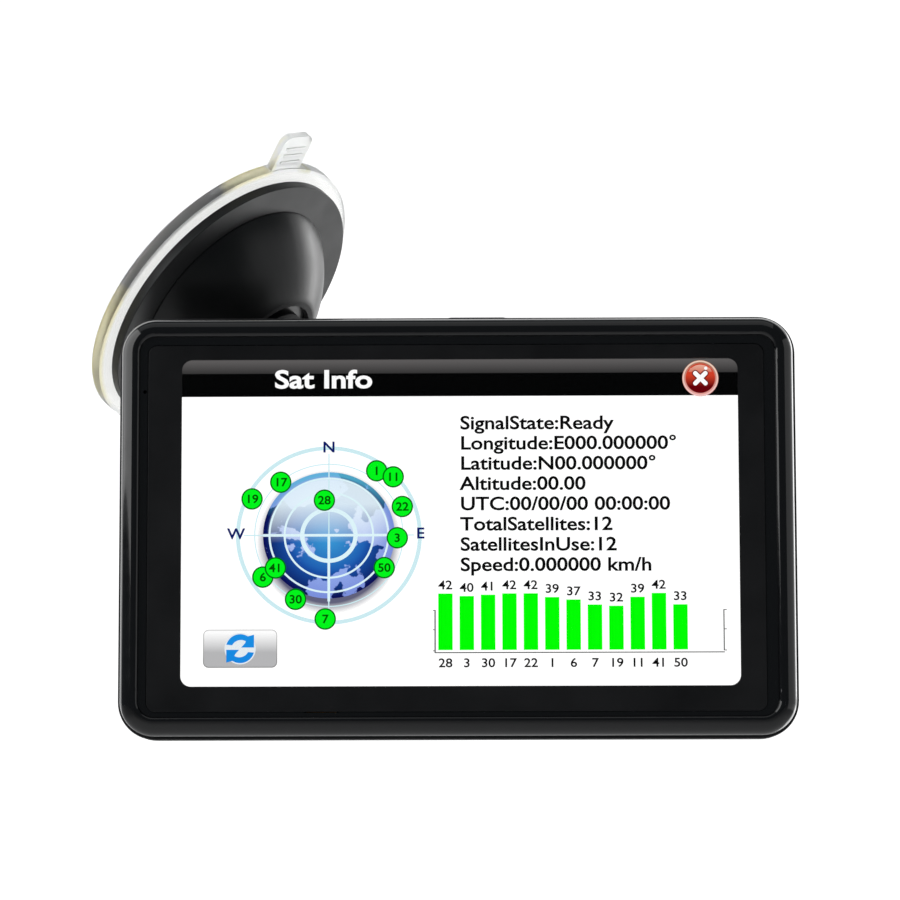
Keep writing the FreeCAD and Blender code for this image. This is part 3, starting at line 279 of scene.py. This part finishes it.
def clear_glass():
    """Clear touch glass with a trace of grease."""
    shader = Shader("touch_glass", (1.0, 1.0, 1.0), 0.0, Transmission_Weight=1.0, IOR=1.2)
    shader.feed("Roughness", shader.ranged(shader.noise(12, 3.0), 0.0, 0.03, 0.45, 0.8))
    shader.bumps((shader.noise(40, 1.0), 0.004, 0.1))
    return shader.material


def circuit_board():
    """Green solder mask over copper tracks and pads."""
    shader = Shader("circuit_board", (0.01, 0.09, 0.04), 0.3)
    tracks = shader.add(
        "ShaderNodeTexBrick", {"Vector": shader.position}, Scale=320.0, **{"Mortar Size": 0.03}
    )
    mask = shader.ranged(tracks.outputs["Fac"], 0, 1, 0.4, 0.6)
    shader.feed("Base Color", shader.blend(mask, (0.01, 0.09, 0.04), (0.03, 0.2, 0.08)))
    shader.bumps((mask, 0.03, 0.4), (shader.noise(0.3), 0.01, 0.2))
    return shader.material


def patterned(name, first, second, size_mm, roughness, depth=0.01, **inputs):
    """A plain material with a two-tone speckle and a fine bump."""
    shader = Shader(name, first, roughness, **inputs)
    speckle = shader.noise(size_mm, 3.0)
    shader.feed("Base Color", shader.blend(shader.ranged(speckle, 0, 1), first, second))
    shader.feed("Roughness", shader.ranged(speckle, roughness * 0.85, roughness * 1.15))
    shader.bumps((speckle, depth, 0.4))
    return shader.material


MATERIALS = {
    "gloss_black": gloss_plastic("gloss_black", (0.006, 0.006, 0.007)),
    "matt_black": matt_plastic("matt_black", (0.014, 0.014, 0.015)),
    "border_black": matt_plastic("border_black", (0.011, 0.011, 0.012), 0.42, 0.3, 0.006),
    "touch_glass": clear_glass(),
    "display_cell": patterned("display_cell", (0.02, 0.02, 0.02), (0.03, 0.03, 0.03), 1, 0.3),
    "backlight": patterned("backlight", (0.75, 0.76, 0.78), (0.68, 0.69, 0.7), 3, 0.4),
    "foam": patterned("foam", (0.012, 0.012, 0.012), (0.02, 0.02, 0.02), 0.3, 0.9, 0.05),
    "clear_pvc": clear_vinyl(),
    "bell_black": bell_material(),
    "steel": metal("steel", (0.55, 0.55, 0.56), 0.28),
    "spring_steel": metal("spring_steel", (0.4, 0.4, 0.42), 0.35),
    "brass": metal("brass", (0.78, 0.58, 0.26), 0.3),
    "board_green": circuit_board(),
    "chip_black": matt_plastic("chip_black", (0.02, 0.02, 0.022), 0.55, 0.15, 0.01),
    "tin": metal("tin", (0.7, 0.71, 0.72), 0.25),
    "ceramic": patterned("ceramic", (0.62, 0.56, 0.42), (0.55, 0.5, 0.38), 0.6, 0.6),
    "silver": metal("silver", (0.8, 0.8, 0.78), 0.4),
    "wire_black": patterned("wire_black", (0.02, 0.02, 0.02), (0.03, 0.03, 0.03), 1, 0.5),
    "wire_red": patterned("wire_red", (0.35, 0.01, 0.01), (0.3, 0.01, 0.01), 1, 0.45),
    "flex": patterned("flex", (0.45, 0.2, 0.03), (0.38, 0.16, 0.02), 2, 0.35),
    "battery_wrap": metal("battery_wrap", (0.6, 0.62, 0.65), 0.45),
    "paper_cone": patterned("paper_cone", (0.03, 0.03, 0.03), (0.05, 0.05, 0.05), 0.5, 0.9, 0.03),
    "speaker_steel": metal("speaker_steel", (0.45, 0.45, 0.45), 0.35),
    "mesh": patterned("mesh", (0.02, 0.02, 0.02), (0.04, 0.04, 0.04), 0.3, 0.85, 0.03),
}

for entry in frame["record"]["subparts"]:
    node = frame["nodes"][entry["node"]]
    node.data.materials.clear()
    node.data.materials.append(MATERIALS[entry["material_slot"]])
    for polygon in node.data.polygons:
        polygon.material_index = 0


# ------------------------------------------------------------------ screen pieces


PIXEL_PITCH = 0.14


def lit_shader(name, strength=1.0):
    """A shader that only gives light."""
    shader = Shader(name, (0, 0, 0), 0.5, Specular_IOR_Level=0.0)
    shader.set("Emission Strength", strength)
    return shader


def glow(name, color, strength=1.0):
    """An even lit colour of the display, with the faint grid of its pixels."""
    shader = lit_shader(name, strength)
    grid = shader.add(
        "ShaderNodeTexBrick", {"Vector": shader.position}, Scale=1 / (PIXEL_PITCH * MM),
        **{"Mortar Size": 0.0, "Color1": (1, 1, 1, 1), "Color2": (0.97, 0.97, 0.97, 1)},
    )
    tint = shader.add("ShaderNodeMix", data_type="RGBA", blend_type="MULTIPLY")
    tint.inputs["Factor"].default_value = 1.0
    tint.inputs["A"].default_value = (*color, 1.0)
    shader.tree.links.new(grid.outputs["Color"], tint.inputs["B"])
    shader.feed("Emission Color", tint.outputs["Result"])
    return shader.material


def glow_fade(name, top, bottom, upper, lower):
    """A lit colour that fades down the screen, between two places in millimetres."""
    shader = lit_shader(name)
    height = shader.add("ShaderNodeSeparateXYZ", {"Vector": shader.position}).outputs["Z"]
    start = screen_point(0, lower).z
    end = screen_point(0, upper).z
    shade = shader.ranged(height, 0, 1, start, end)
    shader.feed("Emission Color", shader.blend(shade, bottom, top))
    return shader.material


def finish_piece(name, mesh_data, material):
    """Link a finished piece of the display, which moves with the navigator."""
    piece = bpy.data.objects.new(name, mesh_data)
    piece.data.materials.clear()
    piece.data.materials.append(material)
    scene.collection.objects.link(piece)
    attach(piece, "navigator")


# Each layer of the picture lies a little in front of the last, in millimetres.
PRINT_THICKNESS = 0.012
LAYER = 0.02


def prisms(name, outlines, layer, material):
    """Thin flat solids on the screen, one for each outline of (x, y) points in millimetres."""
    mesh = bmesh.new()
    lift = layer * LAYER
    for points in outlines:
        top = [mesh.verts.new(screen_point(x, y, lift + PRINT_THICKNESS)) for x, y in points]
        base = [mesh.verts.new(screen_point(x, y, lift)) for x, y in points]
        mesh.faces.new(top)
        mesh.faces.new(base[::-1])
        for number in range(len(points)):
            after = (number + 1) % len(points)
            mesh.faces.new((top[number], base[number], base[after], top[after]))
    bmesh.ops.recalc_face_normals(mesh, faces=mesh.faces)
    data = bpy.data.meshes.new(name)
    mesh.to_mesh(data)
    mesh.free()
    finish_piece(name, data, material)


def arc_points(x, y, radius, start, end, count, squash=1.0):
    """Points along an arc, angles in degrees, measured clockwise from the right."""
    step = math.radians(end - start) / count
    first = math.radians(start)
    return [
        (
            x + radius * math.cos(first + step * k),
            y + radius * squash * math.sin(first + step * k),
        )
        for k in range(count + 1)
    ]


def rounded(left, top, right, bottom, radius, count=8):
    """A rectangle with rounded corners."""
    return (
        arc_points(right - radius, top + radius, radius, -90, 0, count)
        + arc_points(right - radius, bottom - radius, radius, 0, 90, count)
        + arc_points(left + radius, bottom - radius, radius, 90, 180, count)
        + arc_points(left + radius, top + radius, radius, 180, 270, count)
    )


def disc(x, y, radius, count=48, squash=1.0):
    """A filled circle."""
    return arc_points(x, y, radius, 0, 360 - 360 / count, count - 1, squash)


def ring(x, y, radius, width, squash=1.0, count=96):
    """A circular band as a row of small quadrilaterals, so that it needs no hole."""
    outer = arc_points(x, y, radius + width / 2, 0, 360, count, squash)
    inner = arc_points(x, y, radius - width / 2, 0, 360, count, squash)
    return [(outer[k], outer[k + 1], inner[k + 1], inner[k]) for k in range(count)]


def bar(left, top, right, bottom):
    """A plain rectangle."""
    return [(left, top), (right, top), (right, bottom), (left, bottom)]


def turned(points, x, y, degrees):
    """Points turned about x, y."""
    cos, sin = math.cos(math.radians(degrees)), math.sin(math.radians(degrees))
    return [
        (x + (a - x) * cos - (b - y) * sin, y + (a - x) * sin + (b - y) * cos)
        for a, b in points
    ]


# The height of a capital letter in a font of size one.
CAP_HEIGHT = 0.682


def lettering(name, lines, layer, material, bold=0.0, stretch=1.0):
    """Lines of text as (text, x, baseline, height, alignment), joined into one thin mesh."""
    mesh = bmesh.new()
    for text, x, baseline, height, align in lines:
        curve = bpy.data.curves.new(name, "FONT")
        curve.body = text
        curve.align_x = align
        curve.offset = bold
        curve.resolution_u = 4
        holder = bpy.data.objects.new(name, curve)
        scene.collection.objects.link(holder)
        bpy.context.view_layer.update()
        depsgraph = bpy.context.evaluated_depsgraph_get()
        flat = bpy.data.meshes.new_from_object(holder.evaluated_get(depsgraph))
        scale = height / CAP_HEIGHT
        for vertex in flat.vertices:
            vertex.co = screen_point(
                x + vertex.co.x * scale * stretch, baseline - vertex.co.y * scale, layer * LAYER
            )
        mesh.from_mesh(flat)
        bpy.data.objects.remove(holder)
        bpy.data.meshes.remove(flat)
    bmesh.ops.remove_doubles(mesh, verts=mesh.verts, dist=1e-7)
    raised = bmesh.ops.extrude_face_region(mesh, geom=list(mesh.faces))
    moved = [item for item in raised["geom"] if isinstance(item, bmesh.types.BMVert)]
    bmesh.ops.translate(mesh, verts=moved, vec=(0, -PRINT_THICKNESS * MM, 0))
    bmesh.ops.recalc_face_normals(mesh, faces=mesh.faces)
    data = bpy.data.meshes.new(name)
    mesh.to_mesh(data)
    mesh.free()
    finish_piece(name, data, material)


WHITE = (1.0, 1.0, 1.0)


def title_bar():
    """Black bar across the top of the screen, shaded grey above, with a title."""
    grey = glow_fade("lit_title_shade", (0.105, 0.1, 0.1), (0.034, 0.033, 0.033), 0.2, 2.5)
    prisms("screen_title_shade", [bar(-1, -1, WINDOW_WIDTH + 1, 2.55)], 1, grey)
    black = glow("lit_black", (0.0004, 0.0004, 0.0004))
    prisms("screen_title_bar", [bar(-1, 2.55, WINDOW_WIDTH + 1, 7.15)], 1, black)
    title = [("Sat Info", 18.3, 5.4, 3.45, "LEFT")]
    lettering("screen_title", title, 2, glow("lit_title", WHITE), 0.026, 1.27)


def close_button():
    """Round red button with a pale rim, a gloss spot and a white cross."""
    x, y = 103.3, 3.75
    rim = glow_fade("lit_pale_rim", (0.42, 0.16, 0.10), (0.80, 0.33, 0.30), y - 3, y + 3)
    prisms("screen_close_rim", [disc(x, y, 3.62)], 2, rim)
    halo = glow_fade("lit_pale_halo", (0.80, 0.62, 0.50), (0.85, 0.55, 0.52), y - 3, y + 3)
    prisms("screen_close_halo", ring(x, y, 3.4, 0.3), 2.6, halo)
    face = glow_fade("lit_red", (0.62, 0.05, 0.02), (0.13, 0.0, 0.002), y - 0.6, y + 1.6)
    prisms("screen_close_face", [disc(x, y, 2.95)], 3, face)
    crown = arc_points(x, y, 2.7, 208, 332, 24) + arc_points(x, y - 3.1, 2.2, 28, 152, 16)
    shine = glow_fade("lit_rose", (0.80, 0.42, 0.32), (0.60, 0.11, 0.06), y - 2.6, y - 0.9)
    prisms("screen_close_gloss", [crown], 4, shine)
    prisms("screen_close_spot", [disc(x + 1.1, y - 2.0, 0.33)], 5, glow("lit_spot", WHITE))
    shade = rounded(x - 2.05, y - 0.66, x + 2.05, y + 0.66, 0.6)
    arm = rounded(x - 1.85, y - 0.44, x + 1.85, y + 0.44, 0.4)
    for number, angle in enumerate((45, -45)):
        maroon = glow(f"lit_maroon_{number}", (0.16, 0.002, 0.003))
        rise = 0.4 * number
        prisms(f"screen_close_shade_{number}", [turned(shade, x, y, angle)], 5 + rise, maroon)
        white = glow(f"lit_cross_{number}", WHITE)
        prisms(f"screen_close_cross_{number}", [turned(arm, x, y, angle)], 6 + rise, white)


# The middle of the sky view, how much its circles are flattened, and the globe's radius.
SKY_X, SKY_Y = 29.2, 34.75
SQUASH = 0.955
GLOBE = 13.1


def globe():
    """Glossy blue ball with pale land made by noise."""
    radius = GLOBE * MM
    shader = lit_shader("lit_globe")
    offset = shader.add("ShaderNodeVectorMath", {0: shader.position}, operation="SUBTRACT")
    offset.inputs[1].default_value = screen_point(SKY_X, SKY_Y)
    flat = shader.add("ShaderNodeVectorMath", {0: offset.outputs["Vector"]}, operation="MULTIPLY")
    flat.inputs[1].default_value = (1, 0, 1 / SQUASH)
    reach = shader.add("ShaderNodeVectorMath", {0: flat.outputs["Vector"]}, operation="LENGTH")
    reach = reach.outputs["Value"]
    height = shader.add("ShaderNodeSeparateXYZ", {"Vector": flat.outputs["Vector"]}).outputs["Z"]
    rim = shader.ranged(reach, 0, 1, 0.55 * radius, 0.98 * radius)
    heart = shader.ranged(reach, 1, 0, 0.1 * radius, 0.62 * radius)
    deep = shader.blend(rim, (0.01, 0.09, 0.42), (0.002, 0.004, 0.09))
    sea = shader.mixed(heart, deep, (0.04, 0.30, 0.66))
    high = shader.ranged(height, 0, 1, -0.5 * radius, 0.6 * radius)
    pale = shader.blend(high, (0.30, 0.42, 0.85), (0.72, 0.80, 0.97))
    ground = shader.mixed(rim, pale, (0.2, 0.28, 0.72))
    land = shader.ranged(shader.noise(7.0, 6.0), 0, 1, 0.485, 0.5)
    surface = shader.mixed(land, sea, ground)
    lens = shader.ranged(reach, 1, 0, 0.88 * radius, 0.94 * radius)
    lift = shader.ranged(height, 0, 0.86, -0.12 * radius, 0.5 * radius)
    gloss = shader.add("ShaderNodeMath", {0: lens, 1: lift}, operation="MULTIPLY")
    edge = shader.ranged(reach, 0, 1, 0.9 * radius, 0.96 * radius)
    upper = shader.ranged(height, 0, 0.75, 0.3 * radius, 0.9 * radius)
    halo = shader.add("ShaderNodeMath", {0: edge, 1: upper}, operation="MULTIPLY")
    glossed = shader.mixed(gloss.outputs["Value"], surface, (0.80, 0.93, 1.0))
    finished = shader.mixed(halo.outputs["Value"], glossed, (0.1, 0.5, 0.72))
    shader.feed("Emission Color", finished)
    prisms("screen_globe", [disc(SKY_X, SKY_Y, GLOBE, 96, SQUASH)], 2, shader.material)


def globe_shadow():
    """Soft shadow of the globe on the page, a little lower than the globe."""
    radius = GLOBE * MM
    middle = SKY_Y + 1.3
    shadow = lit_shader("lit_shadow")
    away = shadow.add("ShaderNodeVectorMath", {0: shadow.position}, operation="SUBTRACT")
    away.inputs[1].default_value = screen_point(SKY_X, middle)
    spread = shadow.add("ShaderNodeVectorMath", {0: away.outputs["Vector"]}, operation="LENGTH")
    fade = shadow.ranged(spread.outputs["Value"], 0, 1, 0.93 * radius, 1.09 * radius)
    shadow.feed("Emission Color", shadow.blend(fade, (0.12, 0.12, 0.2), WHITE))
    prisms("screen_globe_shadow", [disc(SKY_X, middle, GLOBE * 1.09, 96)], 1, shadow.material)


def sky_rings():
    """Pale blue rings and cross hairs over the globe, with three compass letters."""
    faint = glow("lit_faint_blue", (0.62, 0.86, 0.91))
    outside = ring(SKY_X, SKY_Y, 18.1, 0.8, SQUASH) + ring(SKY_X, SKY_Y, 14.75, 0.22, SQUASH)
    outside.append(bar(SKY_X - 0.12, SKY_Y - 16.2, SKY_X + 0.12, SKY_Y + 14.6))
    outside.append(bar(SKY_X - 16.9, SKY_Y - 0.12, SKY_X + 16.9, SKY_Y + 0.12))
    prisms("screen_sky_rings", outside, 3, faint)
    bright = glow("lit_ring_white", (0.74, 0.93, 0.98))
    inside = ring(SKY_X, SKY_Y, 11.8, 0.4, SQUASH) + ring(SKY_X, SKY_Y, 8.8, 0.4, SQUASH)
    inside += ring(SKY_X, SKY_Y, 5.3, 0.85, SQUASH)
    inside.append(bar(SKY_X - 0.26, SKY_Y, SKY_X + 0.26, SKY_Y + GLOBE))
    inside.append(bar(SKY_X - GLOBE, SKY_Y - 0.26, SKY_X + GLOBE, SKY_Y + 0.26))
    prisms("screen_globe_rings", inside, 4, bright)
    letters = [
        ("N", SKY_X, 18.25, 2.05, "CENTER"),
        ("W", 10.75, 35.45, 2.05, "CENTER"),
        ("E", 47.4, 35.4, 2.05, "CENTER"),
    ]
    lettering("screen_compass", letters, 5, glow("lit_navy", (0.004, 0.012, 0.13)), 0.022, 1.1)


# Where each satellite is drawn, and the signal of each one from left to right.
SATELLITES = {
    19: (13.9, 27.5), 17: (19.6, 24.2), 28: (28.3, 27.8), 1: (38.7, 22.0), 11: (42.0, 23.2),
    22: (43.8, 29.1), 3: (42.8, 35.3), 50: (40.2, 41.2), 7: (28.5, 51.3), 30: (22.6, 47.4),
    6: (16.1, 43.0), 41: (18.6, 41.2),
}
READINGS = (
    (28, 42), (3, 40), (30, 41), (17, 42), (22, 42), (1, 39),
    (6, 37), (7, 33), (19, 32), (11, 39), (41, 42), (50, 33),
)


def satellites():
    """Numbered green discs with dark rims."""
    green = glow("lit_green", (0.0, 0.93, 0.01))
    dark = glow("lit_dark_green", (0.0, 0.15, 0.004))
    for number, (x, y) in enumerate(SATELLITES.values()):
        layer = 6 + 0.12 * number
        prisms(f"screen_satellite_rim_{number}", [disc(x, y, 2.14)], layer, dark)
        prisms(f"screen_satellite_{number}", [disc(x, y, 1.86)], layer + 0.06, green)
    labels = [
        (str(name), x, y + 0.8, 1.6, "CENTER") for name, (x, y) in SATELLITES.items()
    ]
    ink = glow("lit_ink", (0.0, 0.09, 0.0))
    lettering("screen_satellite_numbers", labels, 8, ink, 0.02, 1.1)


def signal_chart():
    """Twelve green bars with their values above, their satellites below, and two axes."""
    pitch = 4.232
    first = 50.9
    width = 2.86
    base = 57.5
    bars = []
    numbers = []
    for place, (satellite, reading) in enumerate(READINGS):
        left = first + place * pitch
        top = base - (11.15 - (42 - reading) * 0.25)
        bars.append(bar(left, top, left + width, base))
        middle = left + width / 2
        numbers.append((str(reading), middle, top - 0.85, 1.68, "CENTER"))
        numbers.append((str(satellite), middle, 60.85, 1.68, "CENTER"))
    prisms("screen_bars", bars, 2, glow("lit_bar_green", (0.0, 0.98, 0.0), 1.02))
    ink = glow("lit_black_ink", (0.002, 0.002, 0.002))
    lettering("screen_bar_numbers", numbers, 2, ink, 0.016, 1.14)
    right = 107.6
    axes = [
        bar(50.2, 57.9, right, 58.1),
        bar(50.15, 49.6, 50.4, 58.0),
        bar(right - 0.22, 49.6, right, 57.7),
    ]
    for y in (49.6, 53.4, 57.55):
        axes.append(bar(49.85, y, 50.3, y + 0.16))
        axes.append(bar(right - 0.1, y, right + 0.45, y + 0.16))
    prisms("screen_axes", axes, 2, glow("lit_axis", (0.05, 0.05, 0.05)))


def readout():
    """Eight lines of generic values at the right of the sky view."""
    words = (
        "SignalState:Ready",
        "Longitude:E000.000000°",
        "Latitude:N00.000000°",
        "Altitude:00.00",
        "UTC:00/00/00 00:00:00",
        "TotalSatellites:12",
        "SatellitesInUse:12",
        "Speed:0.000000 km/h",
    )
    spacing = 4.02
    lines = [
        (text, 55.3, 13.75 + number * spacing, 2.56, "LEFT") for number, text in enumerate(words)
    ]
    lettering("screen_readout", lines, 2, glow("lit_readout", (0.002, 0.002, 0.002)), 0.02, 1.17)


def arrow(x, y, turn):
    """One curved arrow of the refresh sign."""
    sweep = arc_points(x, y, 2.85, 196, 302, 20)
    head = [(x + 2.75, y - 2.75), (x + 2.75, y - 0.22), (x + 0.2, y - 0.22), (x + 0.95, y - 1.05)]
    back = arc_points(x + 0.15, y + 0.25, 1.95, 300, 208, 14)
    return turned(sweep + head + back, x, y, turn)


def refresh_button():
    """Grey rounded button with two blue arrows that chase each other."""
    left, top, right, bottom = 4.3, 53.35, 19.0, 60.85
    rim = glow_fade("lit_rim_grey", (0.55, 0.55, 0.55), (0.2, 0.2, 0.2), top, bottom)
    prisms("screen_refresh_rim", [rounded(left, top, right, bottom, 1.1)], 2, rim)
    shine = glow_fade("lit_button_grey", (1.0, 1.0, 1.0), (0.47, 0.47, 0.48), top + 0.6, bottom - 3)
    inset = 0.17
    face = rounded(left + inset, top + inset, right - inset, bottom - inset, 0.95)
    prisms("screen_refresh_face", [face], 3, shine)
    x, y = (left + right) / 2, (top + bottom) / 2
    blue = glow_fade("lit_arrow_blue", (0.01, 0.28, 0.78), (0.008, 0.24, 0.75), top, bottom)
    for number, turn in enumerate((0, 180)):
        prisms(f"screen_refresh_arrow_{number}", [arrow(x, y, turn)], 5, blue)
    halo = [disc(x, y, 3.1, 48)]
    prisms("screen_refresh_halo", halo, 4, glow("lit_halo", (0.8, 0.86, 0.9)))


def screen():
    """Everything that the display shows."""
    page = glow("lit_page", WHITE, 1.12)
    prisms("screen_page", [bar(-1, -1, WINDOW_WIDTH + 1, WINDOW_HEIGHT + 1)], 0, page)
    title_bar()
    close_button()
    globe()
    globe_shadow()
    sky_rings()
    satellites()
    signal_chart()
    readout()
    refresh_button()


screen()

# ------------------------------------------------------------------ stage, light and camera


def stage_surface(name, corners, color, lit=0.0):
    """A pale sheet of the studio, which can be lit from behind."""
    mesh = bmesh.new()
    mesh.faces.new([mesh.verts.new(corner) for corner in corners])
    data = bpy.data.meshes.new(name)
    mesh.to_mesh(data)
    mesh.free()
    shader = Shader(name, color, 0.9)
    shader.set("Emission Color", (1, 1, 1, 1))
    shader.set("Emission Strength", lit)
    data.materials.append(shader.material)
    sheet = bpy.data.objects.new(name, data)
    scene.collection.objects.link(sheet)


def softbox(name, place, aim, width, height, power, color=(1, 1, 1)):
    """A rectangular area light that points at a place on the object."""
    data = bpy.data.lights.new(name, "AREA")
    data.shape = "RECTANGLE"
    data.size = width
    data.size_y = height
    data.energy = power
    data.color = color
    lamp = bpy.data.objects.new(name, data)
    lamp.location = place
    lamp.rotation_euler = (Vector(aim) - Vector(place)).to_track_quat("-Z", "Y").to_euler()
    scene.collection.objects.link(lamp)


FLOOR = -0.45
stage_surface(
    "floor", ((-4, -3, FLOOR), (4, -3, FLOOR), (4, 3, FLOOR), (-4, 3, FLOOR)), (0.72, 0.72, 0.72)
)
stage_surface(
    "backdrop", ((-4, 2, FLOOR), (4, 2, FLOOR), (4, 2, 3), (-4, 2, 3)), (0.5, 0.5, 0.5), 1.0
)

world = bpy.data.worlds.new("studio")
world.use_nodes = True
world.node_tree.nodes["Background"].inputs["Color"].default_value = (0.8, 0.92, 1.0, 1)
world.node_tree.nodes["Background"].inputs["Strength"].default_value = 0.09
scene.world = world

softbox("left_wall", (-0.8, -0.45, 0.53), (0.0, -0.45, 0.53), 1.5, 1.0, 8.5)
softbox("right_wall", (0.85, 0.15, 0.05), (0.0, 0.15, 0.05), 1.7, 0.7, 1.8)
softbox("rim_strip", (0.75, 0.75, 0.2), (0.0, 0.0, 0.0), 0.3, 0.5, 1.4)
softbox("low_rim", (0.5, 0.4, -0.3), (0.03, 0.0, 0.02), 0.35, 0.35, 0.8)
softbox("top_box", (0.0, -0.2, 0.8), (0.0, -0.1, 0.0), 1.2, 0.7, 0.8)

# The camera looks a little up at the housing from below its middle.
CAMERA_FROM_FRONT = Vector((5.325, -697.276, -63.743)) * MM
CAMERA_TURN = (math.radians(96.438), math.radians(0.1326), math.radians(0.5719))
CAMERA_LENS = 141.17
camera_data = bpy.data.cameras.new("photo_camera")
camera_data.lens = CAMERA_LENS
camera_data.sensor_width = 36.0
camera_data.clip_start = 0.01
camera = bpy.data.objects.new("photo_camera", camera_data)
camera.location = CENTRE + CAMERA_FROM_FRONT
camera.rotation_euler = CAMERA_TURN
scene.collection.objects.link(camera)
scene.camera = camera
scene.view_settings.view_transform = "Standard"
